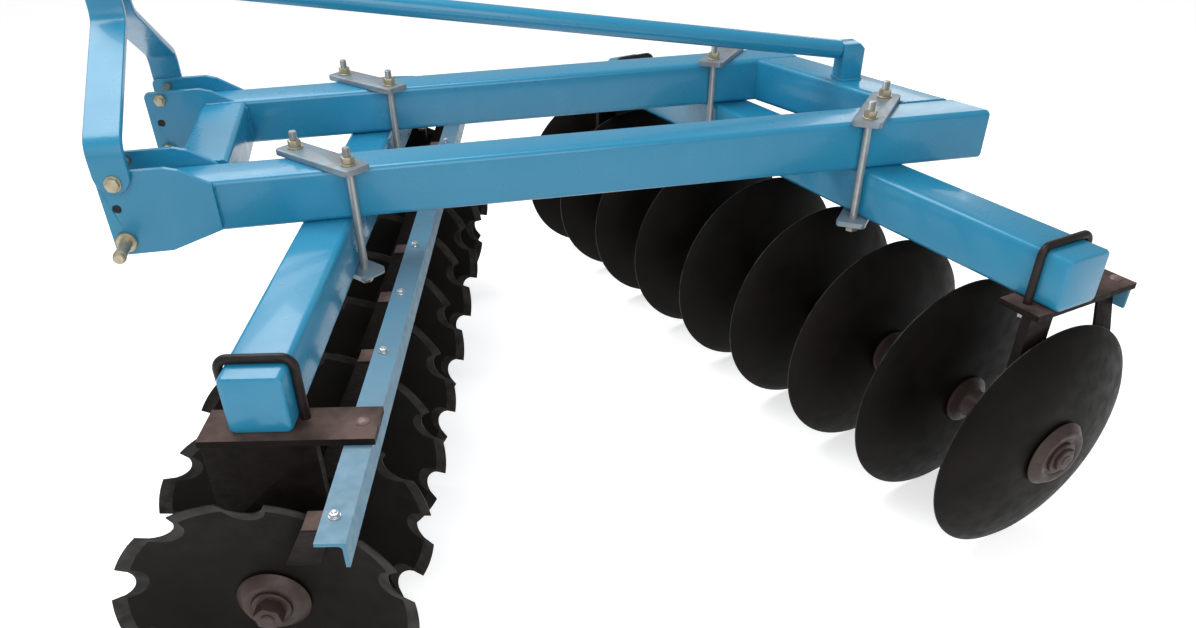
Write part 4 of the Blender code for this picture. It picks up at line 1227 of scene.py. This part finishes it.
# ---------------------------------------------------------------- studio
@dataclass
class Studio:
    """Floor, lamps, world and camera."""
    datum: Datum
    camera_place: Point = (1.2321, 1.8012, 1.3894)
    yaw: float = 0.1536
    pitch: float = 0.6323
    roll: float = -0.0368
    lens: float = 28.13
    shift: tuple[float, float] = (0.0360, 0.1040)
    floor_radius: float = 14.0
    white: tuple[float, float, float, float] = (1.0, 1.0, 1.0, 1.0)

    def build(self) -> None:
        """Set up the camera first, then what lights the harrow and what it stands on."""
        self.build_camera()
        self.build_world()
        self.build_lamps()
        self.build_floor()

    def build_camera(self) -> None:
        """Place the camera over the machine's left side, looking down across it."""
        forward = Vector((-math.sin(self.yaw) * math.cos(self.pitch),
                          -math.cos(self.yaw) * math.cos(self.pitch), -math.sin(self.pitch)))
        level = Vector((-math.cos(self.yaw), math.sin(self.yaw), 0.0))
        upright = level.cross(forward)
        right = math.cos(self.roll) * level + math.sin(self.roll) * upright
        up = math.cos(self.roll) * upright - math.sin(self.roll) * level
        data = bpy.data.cameras.new("camera")
        data.lens = self.lens
        data.sensor_width = 36.0
        data.shift_x, data.shift_y = self.shift
        data.clip_start = 0.02
        camera = bpy.data.objects.new("camera", data)
        turn = Matrix((right, up, -forward)).transposed().to_4x4()
        camera.matrix_world = Matrix.Translation(self.datum.at(*self.camera_place)) @ turn
        bpy.context.scene.collection.objects.link(camera)
        bpy.context.scene.camera = camera
        bpy.context.scene.view_settings.view_transform = "Standard"

    def build_world(self) -> None:
        """Light the scene evenly with a dim white light, and show camera rays a brighter white backdrop."""
        world = bpy.data.worlds.new("studio")
        world.use_nodes = True
        bpy.context.scene.world = world
        tree = world.node_tree
        tree.nodes.clear()
        output = tree.nodes.new("ShaderNodeOutputWorld")
        mix = tree.nodes.new("ShaderNodeMixShader")
        light = tree.nodes.new("ShaderNodeBackground")
        light.inputs["Color"].default_value = self.white
        light.inputs["Strength"].default_value = 0.40
        seen = tree.nodes.new("ShaderNodeBackground")
        seen.inputs["Color"].default_value = self.white
        seen.inputs["Strength"].default_value = 1.0
        path = tree.nodes.new("ShaderNodeLightPath")
        tree.links.new(path.outputs["Is Camera Ray"], mix.inputs["Fac"])
        tree.links.new(light.outputs["Background"], mix.inputs[1])
        tree.links.new(seen.outputs["Background"], mix.inputs[2])
        tree.links.new(mix.outputs["Shader"], output.inputs["Surface"])

    def build_lamps(self) -> None:
        """Hang four soft lamps: one overhead, one on the camera's side and two on the far side."""
        # name, place, target, size, power
        lamps = (("overhead", (1.9, -0.7, 3.2), (1.3, -0.2, 0.5), 2.0, 62.0),
                 ("camera_side", (1.3, 3.2, 2.2), (1.0, 0.0, 0.5), 2.6, 56.0),
                 ("front_far", (2.2, -3.0, 2.6), (1.5, -0.3, 0.6), 1.3, 12.0),
                 ("rear_far", (-1.9, -3.2, 2.2), (0.2, -0.4, 0.6), 1.3, 12.0))
        for name, place, target, size, power in lamps:
            data = bpy.data.lights.new(name, "AREA")
            data.size = size
            data.energy = power
            lamp = bpy.data.objects.new(name, data)
            lamp.location = self.datum.at(*place)
            aim = self.datum.at(*target) - lamp.location
            lamp.rotation_euler = aim.to_track_quat("-Z", "Y").to_euler()
            bpy.context.scene.collection.objects.link(lamp)

    def build_floor(self) -> None:
        """Lay a pale floor that keeps the machine's shadow and looks near white to the camera."""
        bpy.ops.mesh.primitive_circle_add(vertices=64, radius=self.floor_radius, fill_type="NGON")
        floor = bpy.context.object
        floor.name = "floor"
        floor.location.z = CAD_BOUNDS[0][2] - 0.0005
        material = bpy.data.materials.new("pale_floor")
        material.use_nodes = True
        tree = material.node_tree
        shader = tree.nodes["Principled BSDF"]
        shader.inputs["Base Color"].default_value = (0.85, 0.85, 0.85, 1.0)
        shader.inputs["Roughness"].default_value = 0.9
        path = tree.nodes.new("ShaderNodeLightPath")
        seen = tree.nodes.new("ShaderNodeMath")
        seen.operation = "MAXIMUM"
        tree.links.new(path.outputs["Is Camera Ray"], seen.inputs[0])
        tree.links.new(path.outputs["Is Glossy Ray"], seen.inputs[1])
        tree.links.new(seen.outputs[0], shader.inputs["Emission Strength"])
        shader.inputs["Emission Color"].default_value = (0.62, 0.62, 0.62, 1.0)
        floor.data.materials.append(material)


def main() -> None:
    """Build the studio, then the harrow from the frame down to the blades."""
    logging.basicConfig(level=logging.INFO, format="%(name)s %(message)s")
    datum = Datum()
    Studio(datum).build()
    TubeFrame(datum).build()
    Hitch(datum).build()
    Gang(GangAxes("front", 0.029), first_rim=0.6786, dish=1, ends=(0.5749, -1.040), washer=0.0625, nut=0.032,
         notched=True, quarter_turned=(2, 8), bar=(0.815, -0.173, 0.044), scraper=(0.080, -0.124),
         lean=(-0.105, 0.080), arm_bolt=-0.152).build()
    Gang(GangAxes("rear", -0.011), first_rim=0.4926, dish=-1, ends=(0.5053, -1.100), washer=0.070, nut=0.012,
         notched=False, quarter_turned=(), bar=(0.490, -0.180, 0.044), scraper=(-0.035, -0.150),
         lean=(0.045, 0.0), arm_bolt=-0.160).build()
    for gang in ("front", "rear"):
        for side in ("left", "right"):
            Clamp(f"{gang}_{side}_clamp", datum).build()
    CarriedNodes().dress()


if __name__ == "__main__":
    main()
